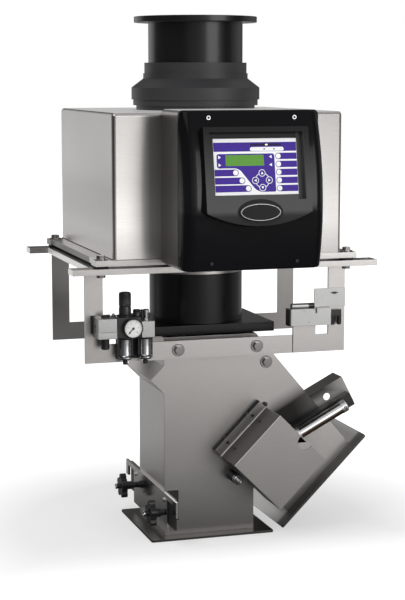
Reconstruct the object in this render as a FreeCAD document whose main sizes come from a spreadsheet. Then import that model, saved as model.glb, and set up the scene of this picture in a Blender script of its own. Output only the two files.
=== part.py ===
"""Gravity metal detector: a coil head round a product tube, on a frame, over a diverter chute.

The head finds metal in product that falls through the tube. A flap in the chute below
swings from the accept leg to the reject leg, pushed by an air cylinder. All lengths are
in millimetres. X runs to the right, Y to the rear and Z up; the origin is on the axis of
the tube, level with the underside of the accept flange.
"""

import FreeCAD, Part
import Sketcher
import math
import os
from types import SimpleNamespace

# Driving dimensions
SIZES = {
    # product tube
    "tube_outer": 200.0,
    "tube_wall": 6.0,
    "overall_height": 1099.0,
    "lip_outer": 260.0,
    "lip_thickness": 12.0,
    "foot_width": 287.0,
    "foot_depth": 208.0,
    "foot_thickness": 20.0,
    "foot_bottom": 436.0,
    # head case and its inside
    "head_width": 484.0,
    "head_depth": 468.0,
    "head_height": 290.0,
    "head_sheet": 3.0,
    "head_round": 8.0,
    "base_sheet": 4.0,
    "boot_wall": 2.2,
    "boot_drop": 52.5,
    "tube_gap": 0.3,
    "collar_step_outer": 265.0,
    "collar_outer": 272.0,
    "collar_neck_outer": 222.0,
    "collar_top_outer": 217.0,
    "collar_foot_outer": 252.0,
    "collar_foot_height": 9.5,
    "collar_step_height": 12.0,
    "collar_band_height": 25.0,
    "collar_cone_height": 19.0,
    "collar_neck_height": 11.0,
    "collar_top_height": 22.0,
    "collar_share": 0.54,
    "former_inner": 224.0,
    "former_wall": 6.0,
    "former_rim": 14.0,
    "coil_section": 9.0,
    "coil_pitch": 70.0,
    # control housing
    "housing_width": 286.0,
    "housing_bottom": 604.0,
    "housing_height": 307.0,
    "housing_depth": 115.0,
    "housing_sheet": 2.0,
    "gasket_thickness": 2.0,
    "bezel_wall": 5.0,
    "bezel_crown_radius": 451.0,
    "bezel_crown_height": 725.0,
    "bezel_crown_front": 401.0,
    "bezel_side_round": 24.0,
    "bezel_edge_round": 7.0,
    "bezel_corner": 10.0,
    "bezel_screw_across": 87.0,
    "bezel_screw_top": 897.0,
    "bezel_screw_bottom": 620.0,
    "screw_sink": 2.0,
    "screen_lean": 10.0,
    "screen_height": 807.0,
    "screen_front": 392.0,
    "surround_width": 212.0,
    "surround_above": 72.0,
    "surround_below": 92.0,
    "surround_lip": 26.0,
    "surround_proud": 14.0,
    "recess_width": 190.0,
    "recess_above": 62.0,
    "recess_below": 68.0,
    "panel_width": 168.0,
    "panel_height": 108.0,
    "panel_thickness": 1.5,
    "panel_drop": 3.0,
    "badge_width": 83.0,
    "badge_height": 35.0,
    "badge_proud": 3.0,
    "display_width": 77.0,
    "display_height": 21.0,
    "display_depth": 9.0,
    "display_left": 60.5,
    "display_low": 1.2,
    "key_radius": 5.0,
    "key_thickness": 1.6,
    "key_proud": 0.6,
    "key_gap": 0.4,
    "key_room": 1.2,
    "key_column": 46.0,
    "key_pitch": 15.5,
    "key_first": 16.8,
    "arrow_across": 11.5,
    "arrow_up": -29.4,
    "arrow_pitch": 14.0,
    "board_width": 200.0,
    "board_height": 200.0,
    "board_thickness": 1.6,
    "board_standoff": 16.0,
    "cap_screw_radius": 4.0,
    # frames
    "bar_width": 40.0,
    "bar_thickness": 12.0,
    "frame_bottom": 585.5,
    "frame_depth": 468.0,
    "upper_length": 554.0,
    "lower_length": 648.0,
    "upper_side_inset": 6.0,
    "pad_thickness": 5.0,
    "pad_radius": 15.0,
    "frame_bolt_inset": 15.0,
    "slot_across": 310.0,
    "slot_width": 9.0,
    "slot_length": 16.0,
    # hangers
    "hanger_width": 566.0,
    "hanger_strip": 38.0,
    "hanger_sheet": 5.0,
    "hanger_depth": 316.0,
    "hanger_bottom": 396.0,
    "hanger_joint": 165.0,
    "hanger_joint_gap": 1.5,
    "hanger_plate_top": 487.0,
    "window_left": 217.5,
    "window_width": 28.0,
    "window_bottom": 433.0,
    "window_height": 23.0,
    # bolts
    "bolt_radius": 5.0,
    "bolt_head_radius": 9.2,
    "bolt_head_height": 7.0,
    "washer_radius": 13.5,
    "washer_thickness": 2.0,
    "bolt_gap": 0.5,
    # chute
    "chute_width": 200.0,
    "chute_depth": 200.0,
    "chute_sheet": 3.0,
    "chute_top": 432.0,
    "chute_top_right": 104.5,
    "pocket_middle": 342.0,
    "pocket_reach": 29.5,
    "crotch_height": 114.5,
    "reject_length": 112.0,
    "flange_thickness": 5.0,
    "accept_flange_width": 272.0,
    "flange_depth": 260.0,
    "reject_flange_width": 270.0,
    "support_sheet": 4.0,
    "support_length": 220.0,
    "support_height": 30.0,
    "support_bolt_across": 86.0,
    "support_bolt_height": 415.0,
    "chute_bolt_across": 127.5,
    "chute_bolt_height": 369.0,
    # hatch on the accept leg
    "hatch_length": 406.0,
    "hatch_top": 103.0,
    "hatch_bottom": 18.0,
    "hatch_sheet": 5.0,
    "hatch_body": 270.0,
    "hatch_arm": 11.0,
    "hatch_ear_width": 18.0,
    "hatch_ear_drop": 34.0,
    "hatch_hole_depth": 140.0,
    "hatch_hole_height": 56.0,
    "hatch_hole_bottom": 26.0,
    "latch_reach": 79.0,
    "latch_leg": 30.0,
    "latch_sheet": 4.0,
    "latch_bottom": 37.0,
    "latch_height": 66.0,
    "knob_across": 120.0,
    "knob_height": 62.0,
    "knob_radius": 28.0,
    "knob_thickness": 13.0,
    "knob_lobe": 7.5,
    "knob_hub_radius": 9.0,
    "knob_hub_length": 13.0,
    "knob_standoff": 10.0,
    "knob_neck_radius": 6.5,
    "knob_end_radius": 6.0,
    "knob_end_length": 9.0,
    "stud_radius": 4.0,
    "stud_hole_gap": 0.4,
    "running_gap": 0.05,
    # flap and its drive
    "shaft_radius": 7.5,
    "pivot_across": 105.0,
    "pivot_height": 125.0,
    "flap_sheet": 3.0,
    "flap_offset": 8.0,
    "flap_length": 303.0,
    "flap_lift": 4.0,
    "flap_swing": 45.0,
    "flap_side_gap": 1.0,
    "bush_wall": 3.5,
    "bush_flange": 3.5,
    "bush_flange_thickness": 4.0,
    "crank_boss_radius": 15.0,
    "crank_boss_length": 20.0,
    "crank_arm_width": 24.0,
    "crank_arm_thickness": 8.0,
    "crank_offset": 40.0,
    "crank_half_stroke": 16.35,
    "crank_start": 2.0,
    "pin_radius": 4.0,
    "slot_side_gap": 0.5,
    "slot_end_gap": 1.0,
    "cylinder_tilt": 27.5,
    "cylinder_radius": 13.5,
    "cylinder_bore": 22.0,
    "cylinder_start": 105.6,
    "cylinder_length": 134.0,
    "cylinder_cap": 14.0,
    "piston_length": 10.0,
    "piston_rest": 205.0,
    "rod_radius": 5.0,
    "rod_eye_radius": 9.0,
    "rod_eye_thickness": 7.0,
    "rail_depth": 20.0,
    "rail_width": 30.0,
    "rail_start": 117.0,
    "rail_end": 262.0,
    "bracket_sheet": 3.0,
    "bracket_end": 268.0,
    "bracket_low": 24.0,
    "bracket_high": 88.0,
    "bracket_flange": 52.0,
    "bracket_hole_along": 218.0,
    "bracket_hole_high": 66.0,
    "bracket_hole_radius": 8.0,
    # guard over the crank
    "guard_left": -109.0,
    "guard_right": 35.0,
    "guard_low": 137.0,
    "guard_high": 279.0,
    "guard_front": 212.0,
    "guard_sheet": 2.0,
    "guard_flange": 18.0,
    "guard_standoff": 16.0,
    "spacer_radius": 5.0,
    "spacer_inset": 36.0,
    "guard_entry_before": 20.0,
    "guard_entry_length": 60.0,
    "guard_notch_radius": 16.0,
    "guard_notch_along": 103.0,
    "guard_notch_rise": 6.0,
    "sensor_radius": 11.0,
    "sensor_length": 48.0,
    "sensor_across": 50.0,
    "sensor_height": 126.0,
    # air unit
    "air_left": 266.5,
    "air_block_width": 40.0,
    "air_regulator_width": 49.5,
    "air_oiler_width": 28.0,
    "air_front": 205.0,
    "air_bottom": 452.0,
    "air_block_height": 45.0,
    "air_inlet_height": 41.0,
    "air_oiler_height": 33.0,
    "air_port_radius": 6.6,
    "air_port_depth": 12.0,
    "air_cap_radius": 8.0,
    "air_cap_height": 4.0,
    "silencer_radius": 8.5,
    "silencer_length": 24.0,
    "bowl_radius": 16.0,
    "bowl_wall": 2.5,
    "bowl_height": 47.0,
    "bowl_first": 205.0,
    "bowl_second": 163.0,
    "drain_radius": 5.0,
    "drain_length": 10.0,
    "oiler_cap_radius": 8.0,
    "oiler_cap_height": 10.0,
    "oiler_cap_across": 180.5,
    "sight_radius": 6.5,
    "regulator_knob_radius": 12.5,
    "regulator_knob_height": 46.0,
    "regulator_spindle_radius": 3.0,
    "gauge_radius": 20.0,
    "gauge_depth": 12.0,
    "gauge_across": 196.0,
    "gauge_height": 473.0,
    "gauge_rim": 1.8,
    "gauge_face_depth": 3.5,
    "needle_length": 13.0,
    "needle_thickness": 0.8,
    "needle_width": 1.6,
    # valve block
    "valve_left": 149.5,
    "valve_width": 93.5,
    "valve_depth": 24.0,
    "valve_bottom": 456.0,
    "valve_height": 36.0,
    "coil_radius": 6.0,
    "coil_length": 51.0,
    "coil_inset": 8.0,
    "muffler_radius": 5.0,
    "muffler_pitch": 15.0,
    "muffler_drop": 38.0,
    "tab_left": 213.0,
    "tab_height": 45.0,
    "tab_sheet": 3.0,
}

# Round white keys beside the display: across and up from the middle of the panel
ROUND_KEYS = [(-41.8, -14.1), (-29.5, -29.6), (-17.4, -44.6)]
SIDE_KEY_COUNT = 5
COIL_LEVELS = (-1, 0, 1)
KNOB_LOBES = 5
ROOT_HALF = math.sqrt(0.5)

doc = FreeCAD.newDocument("gravity_metal_detector")
sheet = doc.addObject("Spreadsheet::Sheet", "Sizes")


class Size:
    """A number that also knows its formula in the sheet, so that an object can be bound to it."""

    def __init__(self, text, value):
        self.text = text
        self.value = float(value)

    def __add__(self, other):
        other = size(other)
        return Size(f"({self.text} + {other.text})", self.value + other.value)

    def __sub__(self, other):
        other = size(other)
        return Size(f"({self.text} - {other.text})", self.value - other.value)

    def __mul__(self, other):
        other = size(other)
        return Size(f"({self.text} * {other.text})", self.value * other.value)

    def __truediv__(self, other):
        other = size(other)
        return Size(f"({self.text} / {other.text})", self.value / other.value)

    def __neg__(self):
        return Size(f"(0 - {self.text})", -self.value)

    def __radd__(self, other):
        return size(other) + self

    def __rsub__(self, other):
        return size(other) - self

    def __rmul__(self, other):
        return size(other) * self


def size(number):
    """Turn a plain number into a Size; a Size stays as it is."""
    if isinstance(number, Size):
        return number
    return Size(repr(float(number)), number)


def root(number):
    """Square root of a Size."""
    return Size(f"sqrt({number.text})", math.sqrt(number.value))


def cosine(angle):
    """Cosine of an angle in degrees."""
    angle = size(angle)
    return Size(f"cos({angle.text})", math.cos(math.radians(angle.value)))


def sine(angle):
    """Sine of an angle in degrees."""
    angle = size(angle)
    return Size(f"sin({angle.text})", math.sin(math.radians(angle.value)))


def fill_sheet():
    """Write every driving dimension to the sheet and return them by name."""
    named = {}
    for row, (name, value) in enumerate(SIZES.items(), start=1):
        sheet.set(f"A{row}", name)
        sheet.set(f"B{row}", str(value))
        sheet.setAlias(f"B{row}", name)
        named[name] = Size(f"Sizes.{name}", value)
    doc.recompute()
    return SimpleNamespace(**named)


d = fill_sheet()
AXES = {"x": FreeCAD.Vector(1, 0, 0), "y": FreeCAD.Vector(0, 1, 0), "z": FreeCAD.Vector(0, 0, 1)}
# a turn is an axis and a positive angle; these bring a cylinder, drawn along Z, to each axis
ALONG = {
    "x": (AXES["y"], size(90)),
    "y": (AXES["x"] * -1, size(90)),
    "z": None,
}


# Building blocks

def bind(obj, name, value):
    """Give a property its value and tie it to the sheet."""
    value = size(value)
    setattr(obj, name, value.value)
    obj.setExpression(name, value.text)


def place(obj, corner, turn=None):
    """Put an object at a corner, turned; both follow the sheet."""
    corner = [size(c) for c in corner]
    spot = FreeCAD.Vector(*[c.value for c in corner])
    rotation = FreeCAD.Rotation(turn[0], turn[1].value) if turn else FreeCAD.Rotation()
    obj.Placement = FreeCAD.Placement(spot, rotation)
    for axis, coordinate in zip("xyz", corner):
        obj.setExpression(f"Placement.Base.{axis}", coordinate.text)
    if turn:
        obj.setExpression("Placement.Rotation.Angle", turn[1].text)
    return obj


def tilt(angle):
    """The turn that lifts X towards Z by an angle, or lowers it when the angle is negative."""
    angle = size(angle)
    if angle.value < 0:
        return AXES["y"], -angle
    return AXES["y"] * -1, angle


def turned_point(angle, along, across):
    """X and Z of a point given along and across a direction tilted up by angle in the XZ plane."""
    along, across = size(along), size(across)
    return (along * cosine(angle) - across * sine(angle),
            along * sine(angle) + across * cosine(angle))


def box(name, x, y, z, angle=None, origin=(0.0, 0.0)):
    """A box from three (low, high) pairs, drawn in axes tilted by angle about a point in XZ."""
    obj = doc.addObject("Part::Box", name)
    for prop, (low, high) in zip(("Length", "Width", "Height"), (x, y, z)):
        bind(obj, prop, size(high) - size(low))
    if angle is None:
        return place(obj, (x[0], y[0], z[0]))
    corner_x, corner_z = turned_point(angle, x[0], z[0])
    return place(obj, (corner_x + origin[0], y[0], corner_z + origin[1]), tilt(angle))


def rod(name, radius, start, length, axis):
    """A round bar from its start point along an axis, or along a turned Z axis."""
    obj = doc.addObject("Part::Cylinder", name)
    bind(obj, "Radius", radius)
    bind(obj, "Height", length)
    return place(obj, start, ALONG[axis] if isinstance(axis, str) else axis)


def hexagon(name, radius, start, length, axis):
    """A six-sided bar with the given corner radius."""
    obj = doc.addObject("Part::Prism", name)
    obj.Polygon = 6
    bind(obj, "Circumradius", radius)
    bind(obj, "Height", length)
    return place(obj, start, ALONG[axis])


def cut(name, base, *tools):
    """Take the tools away from the base."""
    obj = doc.addObject("Part::Cut", name)
    obj.Base = base
    obj.Tool = tools[0] if len(tools) == 1 else join(name + "_tools", *tools)
    return obj


def join(name, *parts):
    """Fuse parts into one."""
    obj = doc.addObject("Part::MultiFuse", name)
    obj.Shapes = list(parts)
    return obj


def overlap(name, first, second):
    """Keep what two parts have in common."""
    obj = doc.addObject("Part::MultiCommon", name)
    obj.Shapes = [first, second]
    return obj


def group(name, *parts):
    """Keep several separate solids together in one sub-part."""
    obj = doc.addObject("Part::Compound", name)
    obj.Links = list(parts)
    return obj


def round_edges(name, base, radius, wanted):
    """Round the edges of base that the test picks."""
    doc.recompute()
    obj = doc.addObject("Part::Fillet", name)
    obj.Base = base
    obj.Edges = [(i, radius, radius) for i, edge in enumerate(base.Shape.Edges, 1) if wanted(edge)]
    return obj


def upright(edge):
    """True for a straight edge that runs along Z."""
    return is_along(edge, "z")


def is_along(edge, axis):
    """True for a straight edge parallel to an axis."""
    if len(edge.Vertexes) != 2 or not isinstance(edge.Curve, Part.Line):
        return False
    return abs(abs(edge.tangentAt(edge.FirstParameter).dot(AXES[axis])) - 1) < 1e-6


def sketch(body, plane_role, outline):
    """A closed outline in a body's sketch; each corner is held by two sheet-bound distances."""
    obj = body.newObject("Sketcher::SketchObject", body.Name + "_outline")
    plane = next(f for f in body.Origin.OriginFeatures if f.Role == plane_role)
    obj.AttachmentSupport = [(plane, "")]
    obj.MapMode = "FlatFace"
    points = [(size(a), size(b)) for a, b in outline]
    for i, (a, b) in enumerate(points):
        after = points[(i + 1) % len(points)]
        obj.addGeometry(Part.LineSegment(
            FreeCAD.Vector(a.value, b.value, 0),
            FreeCAD.Vector(after[0].value, after[1].value, 0)), False)
    hold_corners(obj, points)
    return obj


def hold_corners(obj, points):
    """Join the sketch's lines end to end and tie each corner to the sheet."""
    constraint = Sketcher.Constraint
    count = len(points)
    for i in range(count):
        obj.addConstraint(constraint("Coincident", i, 2, (i + 1) % count, 1))
    for i, (a, b) in enumerate(points):
        for kind, value in (("DistanceX", a), ("DistanceY", b)):
            if abs(value.value) < 1e-9:
                other = "PointOnObject"
                obj.addConstraint(constraint(other, i, 1, -2 if kind == "DistanceX" else -1))
                continue
            index = obj.addConstraint(constraint(kind, -1, 1, i, 1, value.value))
            obj.setExpression(f"Constraints[{index}]", value.text)


PLATE_PLANES = {"y": "XZ_Plane", "x": "YZ_Plane", "z": "XY_Plane"}


def plate(name, outline, low, high, normal="y"):
    """An outline in the plane across an axis, padded from low to high along that axis."""
    body = doc.addObject("PartDesign::Body", name)
    drawn = sketch(body, PLATE_PLANES[normal], outline)
    pad = body.newObject("PartDesign::Pad", name + "_pad")
    pad.Profile = drawn
    bind(pad, "Length", size(high) - size(low))
    body.Tip = pad
    start = size(high) if normal == "y" else size(low)
    corner = [start if axis == normal else size(0) for axis in "xyz"]
    return place(body, corner)


def turning(name, outline):
    """A profile of (radius, height) points turned once round the Z axis."""
    body = doc.addObject("PartDesign::Body", name)
    drawn = sketch(body, "XZ_Plane", outline)
    turn = body.newObject("PartDesign::Revolution", name + "_turn")
    turn.Profile = drawn
    turn.ReferenceAxis = (drawn, ["V_Axis"])
    turn.Angle = 360.0
    body.Tip = turn
    return body


# Levels and faces that several sub-parts share
half = SimpleNamespace(
    tube=d.tube_outer / 2,
    bore=d.tube_outer / 2 - d.tube_wall,
    head_x=d.head_width / 2,
    head_y=d.head_depth / 2,
    housing=d.housing_width / 2,
    hanger=d.hanger_width / 2,
    chute=d.chute_width / 2,
    depth=d.chute_depth / 2,
)
lower_top = d.frame_bottom + d.bar_thickness
upper_bottom = lower_top + d.pad_thickness
head_bottom = upper_bottom + d.bar_thickness
head_top = head_bottom + d.head_height
foot_top = d.foot_bottom + d.foot_thickness
lip_bottom = d.overall_height - d.lip_thickness
housing_back = -half.head_y
housing_top = d.housing_bottom + d.housing_height
housing_front = housing_back - d.housing_depth
bezel_back = housing_front - d.gasket_thickness
bolt_across = d.upper_length / 2 - d.frame_bolt_inset
hanger_front = -(d.hanger_depth / 2)
hanger_back = hanger_front + d.hanger_sheet
hanger_bar_top = d.hanger_bottom + d.hanger_strip
plate_front = -half.depth
plate_inside = plate_front + d.chute_sheet
tube_hole = half.tube + d.tube_gap


# Product tube

def feed_tube():
    """The plastic tube that product falls through, with the lip at its top."""
    return turning("feed_tube", [
        (half.bore, foot_top), (half.tube, foot_top), (half.tube, lip_bottom),
        (d.lip_outer / 2, lip_bottom), (d.lip_outer / 2, d.overall_height),
        (half.bore, d.overall_height)])


def tube_foot():
    """The square plastic plate at the bottom of the tube, over the chute's mouth."""
    slab = box("tube_foot_slab", (-(d.foot_width / 2), d.foot_width / 2),
               (-(d.foot_depth / 2), d.foot_depth / 2), (d.foot_bottom, foot_top))
    bore = rod("tube_foot_bore", half.bore, (0, 0, d.foot_bottom), d.foot_thickness, "z")
    return cut("tube_foot", slab, bore)


def upper_collar():
    """The stepped collar that seals the tube to the top of the head.

    It covers a fixed share of the tube between the head and the lip, and its six
    steps divide that height in the proportion of their own heights.
    """
    rises = (d.collar_foot_height, d.collar_step_height, d.collar_band_height,
             d.collar_cone_height, d.collar_neck_height, d.collar_top_height)
    stack = rises[0]
    for rise in rises[1:]:
        stack = stack + rise
    stretch = (lip_bottom - head_top) * d.collar_share / stack
    levels = [head_top]
    for rise in rises:
        levels.append(levels[-1] + rise * stretch)
    foot, step, band = (d.collar_foot_outer / 2, d.collar_step_outer / 2, d.collar_outer / 2)
    neck, top = d.collar_neck_outer / 2, d.collar_top_outer / 2
    return turning("upper_collar", [
        (half.tube, levels[0]), (foot, levels[0]), (foot, levels[1]), (step, levels[1]),
        (step, levels[2]), (band, levels[2]), (band, levels[3]), (neck, levels[4]),
        (neck, levels[5]), (top, levels[5]), (top, levels[6]), (half.tube, levels[6])])


# Head

def head_shell():
    """The welded stainless case of the head, open underneath."""
    outer = box("head_shell_outside", (-half.head_x, half.head_x), (-half.head_y, half.head_y),
                (head_bottom, head_top))
    top_z = head_top.value

    def wanted(edge):
        return upright(edge) or abs(edge.CenterOfMass.z - top_z) < 1e-6

    rounded = round_edges("head_shell_rounded", outer, d.head_round.value, wanted)
    wall = d.head_sheet
    inner = box("head_shell_inside", (wall - half.head_x, half.head_x - wall),
                (wall - half.head_y, half.head_y - wall), (head_bottom, head_top - wall))
    mouth = rod("head_shell_mouth", tube_hole, (0, 0, head_top - wall * 2), wall * 3, "z")
    cable = rod("head_shell_cable_hole", wall * 5, (0, housing_back - wall, cable_height()),
                wall * 3, "y")
    return cut("head_shell", rounded, inner, mouth, cable)


def cable_height():
    """Height of the cable hole between the head and the control housing."""
    return head_bottom + d.head_height * 0.75


def head_base():
    """The base plate of the head, with the steel boot round the tube below it."""
    wall = d.head_sheet
    slab = box("head_base_slab", (wall - half.head_x, half.head_x - wall),
               (wall - half.head_y, half.head_y - wall), (head_bottom, head_bottom + d.base_sheet))
    boot = rod("head_base_boot", half.tube + d.boot_wall, (0, 0, head_bottom - d.boot_drop),
               d.boot_drop + d.base_sheet, "z")
    hole = rod("head_base_hole", half.tube, (0, 0, head_bottom - d.boot_drop),
               d.boot_drop + d.base_sheet, "z")
    return cut("head_base", join("head_base_welded", slab, boot), hole)


def coil_former():
    """The plastic bobbin inside the head that holds the search coils."""
    inner = d.former_inner / 2
    outer = inner + d.former_wall
    rim = outer + d.former_rim
    low = head_bottom + d.base_sheet
    high = head_top - d.head_sheet
    edge = d.former_wall
    return turning("coil_former", [
        (inner, low), (rim, low), (rim, low + edge), (outer, low + edge),
        (outer, high - edge), (rim, high - edge), (rim, high), (inner, high)])


def detector_coils():
    """Three copper rings: the transmitter in the middle and a receiver on each side."""
    inner = d.former_inner / 2 + d.former_wall
    outer = inner + d.coil_section
    middle = head_bottom + d.head_height / 2
    rings = []
    for level in COIL_LEVELS:
        low = middle + d.coil_pitch * level - d.coil_section / 2
        high = low + d.coil_section
        rings.append(turning(f"coil_ring_{level + 2}",
                             [(inner, low), (outer, low), (outer, high), (inner, high)]))
    return group("detector_coils", *rings)


# Control housing

def housing_shell():
    """The stainless housing of the controls, open at the front, with four posts inside."""
    wall = d.housing_sheet
    outer = housing_block("housing_outside", 0, housing_front, housing_back)
    inner = housing_block("housing_inside", wall, housing_front, housing_back - wall)
    hole = rod("housing_cable_hole", d.head_sheet * 5, (0, housing_back - wall * 2, cable_height()),
               wall * 3, "y")
    posts = [rod(f"housing_post_{i}", d.cap_screw_radius, (x, housing_back - wall - d.board_standoff, z),
                 d.board_standoff, "y") for i, (x, z) in enumerate(board_corners(), 1)]
    return join("housing_shell", cut("housing_case", outer, inner, hole), *posts)


def housing_block(name, shrink, front, back):
    """A block with the housing's rounded outline, smaller all round by shrink."""
    shrink = size(shrink)
    block = box(name + "_block", (shrink - half.housing, half.housing - shrink), (front, back),
                (d.housing_bottom + shrink, housing_top - shrink))
    return round_edges(name, block, d.bezel_corner.value - shrink.value,
                       lambda edge: is_along(edge, "y"))


def board_corners():
    """Across and height of the four posts that carry the circuit board."""
    inset = d.cap_screw_radius * 2
    across = d.board_width / 2 - inset
    middle = d.housing_bottom + d.housing_height / 2
    up = d.board_height / 2 - inset
    return [(x, middle + z) for x in (-across, across) for z in (-up, up)]


def circuit_board():
    """The control board on its posts."""
    middle = d.housing_bottom + d.housing_height / 2
    rear = housing_back - d.housing_sheet - d.board_standoff
    return box("circuit_board", (-(d.board_width / 2), d.board_width / 2),
               (rear - d.board_thickness, rear),
               (middle - d.board_height / 2, middle + d.board_height / 2))


def bezel_gasket():
    """The rubber seal between the housing and the bezel."""
    outer = housing_block("gasket_outside", 0, bezel_back, housing_front)
    inner = housing_block("gasket_inside", d.bezel_wall, bezel_back, housing_front)
    return cut("bezel_gasket", outer, inner)


def crown(name, shrink):
    """The crowned block of the bezel, smaller all round by shrink."""
    shrink = size(shrink)
    block = housing_block(name + "_block", shrink, -(d.bezel_crown_front + 10), bezel_back)
    barrel = rod(name + "_barrel", d.bezel_crown_radius - shrink,
                 (shrink - half.housing, d.bezel_crown_radius - d.bezel_crown_front,
                  d.bezel_crown_height), d.housing_width - shrink * 2, "x")
    eased = round_edges(name + "_eased", barrel, d.bezel_side_round.value - shrink.value,
                        lambda edge: isinstance(edge.Curve, Part.Circle))
    return overlap(name, block, eased)


def on_panel(across, up, outward):
    """A point given across, up and outward from the middle of the leaning screen."""
    up, outward = size(up), size(outward)
    turn_cosine, turn_sine = cosine(d.screen_lean), sine(d.screen_lean)
    rear = up * turn_sine - outward * turn_cosine - d.screen_front
    rise = up * turn_cosine + outward * turn_sine + d.screen_height
    return size(across), rear, rise


def panel_box(name, across, up, outward):
    """A box square to the leaning screen, from three (low, high) pairs."""
    obj = doc.addObject("Part::Box", name)
    for prop, (low, high) in zip(("Length", "Width", "Height"), (across, outward, up)):
        bind(obj, prop, size(high) - size(low))
    return place(obj, on_panel(across[0], up[0], outward[1]), (AXES["x"] * -1, d.screen_lean))


def panel_rod(name, radius, across, up, low, high):
    """A round bar square to the leaning screen, from low to high outward."""
    turn = (AXES["x"] * -1, d.screen_lean + 90)
    return rod(name, radius, on_panel(across, up, high), size(high) - size(low), turn)


def bezel():
    """The gloss plastic front of the housing, with the raised surround of the screen."""
    block = crown("bezel_crown", 0)
    front = bezel_back.value - 1
    rounded = round_edges("bezel_rounded", block, d.bezel_edge_round.value,
                          lambda edge: is_along(edge, "x") and edge.CenterOfMass.y < front)
    wide = d.surround_width / 2
    surround = panel_box("surround_slab", (-wide, wide),
                         (-(d.surround_below + d.surround_lip), d.surround_above),
                         (-(d.bezel_wall * 4), d.surround_proud))
    lip_radius = (wide * wide + d.surround_lip * d.surround_lip) / (d.surround_lip * 2)
    lip_up = lip_radius - d.surround_below - d.surround_lip
    lip = panel_rod("surround_lip", lip_radius, 0, lip_up, -(d.bezel_wall * 4), d.surround_proud)
    badge = oval("badge", d.badge_width / 2, d.badge_height / 2, -d.surround_below,
                 d.surround_proud / 2, d.surround_proud + d.badge_proud)
    body = join("bezel_solid", rounded, overlap("surround", surround, lip), badge)
    hollow = crown("bezel_hollow", d.bezel_wall)
    mouth = box("bezel_mouth", (d.bezel_wall - half.housing, half.housing - d.bezel_wall),
                (bezel_back - d.bezel_wall, bezel_back),
                (d.housing_bottom + d.bezel_wall, housing_top - d.bezel_wall))
    recess = panel_box("screen_recess", (-(d.recess_width / 2), d.recess_width / 2),
                       (-d.recess_below, d.recess_above), (0, d.surround_proud * 2))
    window = panel_box("screen_window", display_span(0.3), display_rise(0.3),
                       (-(d.display_depth * 2), d.display_depth))
    pockets = [panel_rod(f"key_pocket_{i}", d.key_radius + d.key_gap, x, z, -d.key_room, d.key_room)
               for i, (_, x, z) in enumerate(key_places(), 1)]
    holes = []
    for i, (x, z) in enumerate(bezel_screw_places(), 1):
        seat = bezel_screw_seat(z)
        holes.append(rod(f"bezel_screw_seat_{i}", d.cap_screw_radius + d.key_gap,
                         (x, seat - d.bezel_wall * 2, z), d.bezel_wall * 2, "y"))
        holes.append(rod(f"bezel_screw_hole_{i}", d.cap_screw_radius / 2, (x, seat, z),
                         d.bezel_wall, "y"))
    return cut("bezel", body, hollow, mouth, recess, window, *pockets, *holes)


def oval(name, wide, high, up, low, top):
    """An oval plate square to the leaning screen."""
    obj = doc.addObject("Part::Ellipse", name + "_edge")
    bind(obj, "MajorRadius", wide)
    bind(obj, "MinorRadius", high)
    place(obj, on_panel(0, up, top), (AXES["x"], 90 - d.screen_lean))
    solid = doc.addObject("Part::Extrusion", name)
    solid.Base = obj
    solid.DirMode = "Normal"
    solid.Solid = True
    bind(solid, "LengthFwd", size(top) - size(low))
    return solid


def display_span(gap):
    """Left and right edges of the display, wider by a gap."""
    return -d.display_left - gap, d.display_width - d.display_left + gap


def display_rise(gap):
    """Lower and upper edges of the display, taller by a gap."""
    return -d.display_low - gap, d.display_height - d.display_low + gap


def display_module():
    """The character display behind the panel's window."""
    return panel_box("display_module", display_span(0), display_rise(0),
                     (-d.display_depth, d.panel_thickness * 0.6))


def key_places():
    """Name, across and up of every key on the panel."""
    places = [(f"round_key_{i}", size(x), size(z)) for i, (x, z) in enumerate(ROUND_KEYS, 1)]
    for i in range(SIDE_KEY_COUNT):
        places.append((f"side_key_{i + 1}", d.key_column, d.key_first - d.key_pitch * i))
    step = d.arrow_pitch
    for name, x, z in (("up", 0, 1), ("left", -1, 0), ("right", 1, 0), ("down", 0, -1)):
        places.append((f"{name}_key", d.arrow_across + step * x, d.arrow_up + step * z))
    return places


def keypad_panel():
    """The printed panel, pierced for the display and for each key."""
    wide = d.panel_width / 2
    high = d.panel_height / 2
    slab = panel_box("panel_slab", (-wide, wide), (-d.panel_drop - high, high - d.panel_drop),
                     (0, d.panel_thickness))
    window = panel_box("panel_window", display_span(0), display_rise(0),
                       (-d.panel_thickness, d.panel_thickness * 2))
    holes = [panel_rod(f"key_hole_{i}", d.key_radius + d.key_gap, x, z, -d.panel_thickness,
                       d.panel_thickness * 2) for i, (_, x, z) in enumerate(key_places(), 1)]
    return cut("keypad_panel", slab, window, *holes)


def keys():
    """The keys that travel into the panel when pressed."""
    face = d.panel_thickness + d.key_proud
    return [panel_rod(name, d.key_radius, x, z, face - d.key_thickness, face)
            for name, x, z in key_places()]


def bezel_screw_places():
    """Across and height of the four bezel screws."""
    return [(d.bezel_screw_across * x, z) for x in (-1, 1)
            for z in (d.bezel_screw_bottom, d.bezel_screw_top)]


def bezel_screw_seat(height):
    """Y of the seat of a screw, sunk into the crowned face at a height."""
    drop = height - d.bezel_crown_height
    reach = root(d.bezel_crown_radius * d.bezel_crown_radius - drop * drop)
    return d.bezel_crown_radius - d.bezel_crown_front - reach + d.screw_sink


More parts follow.
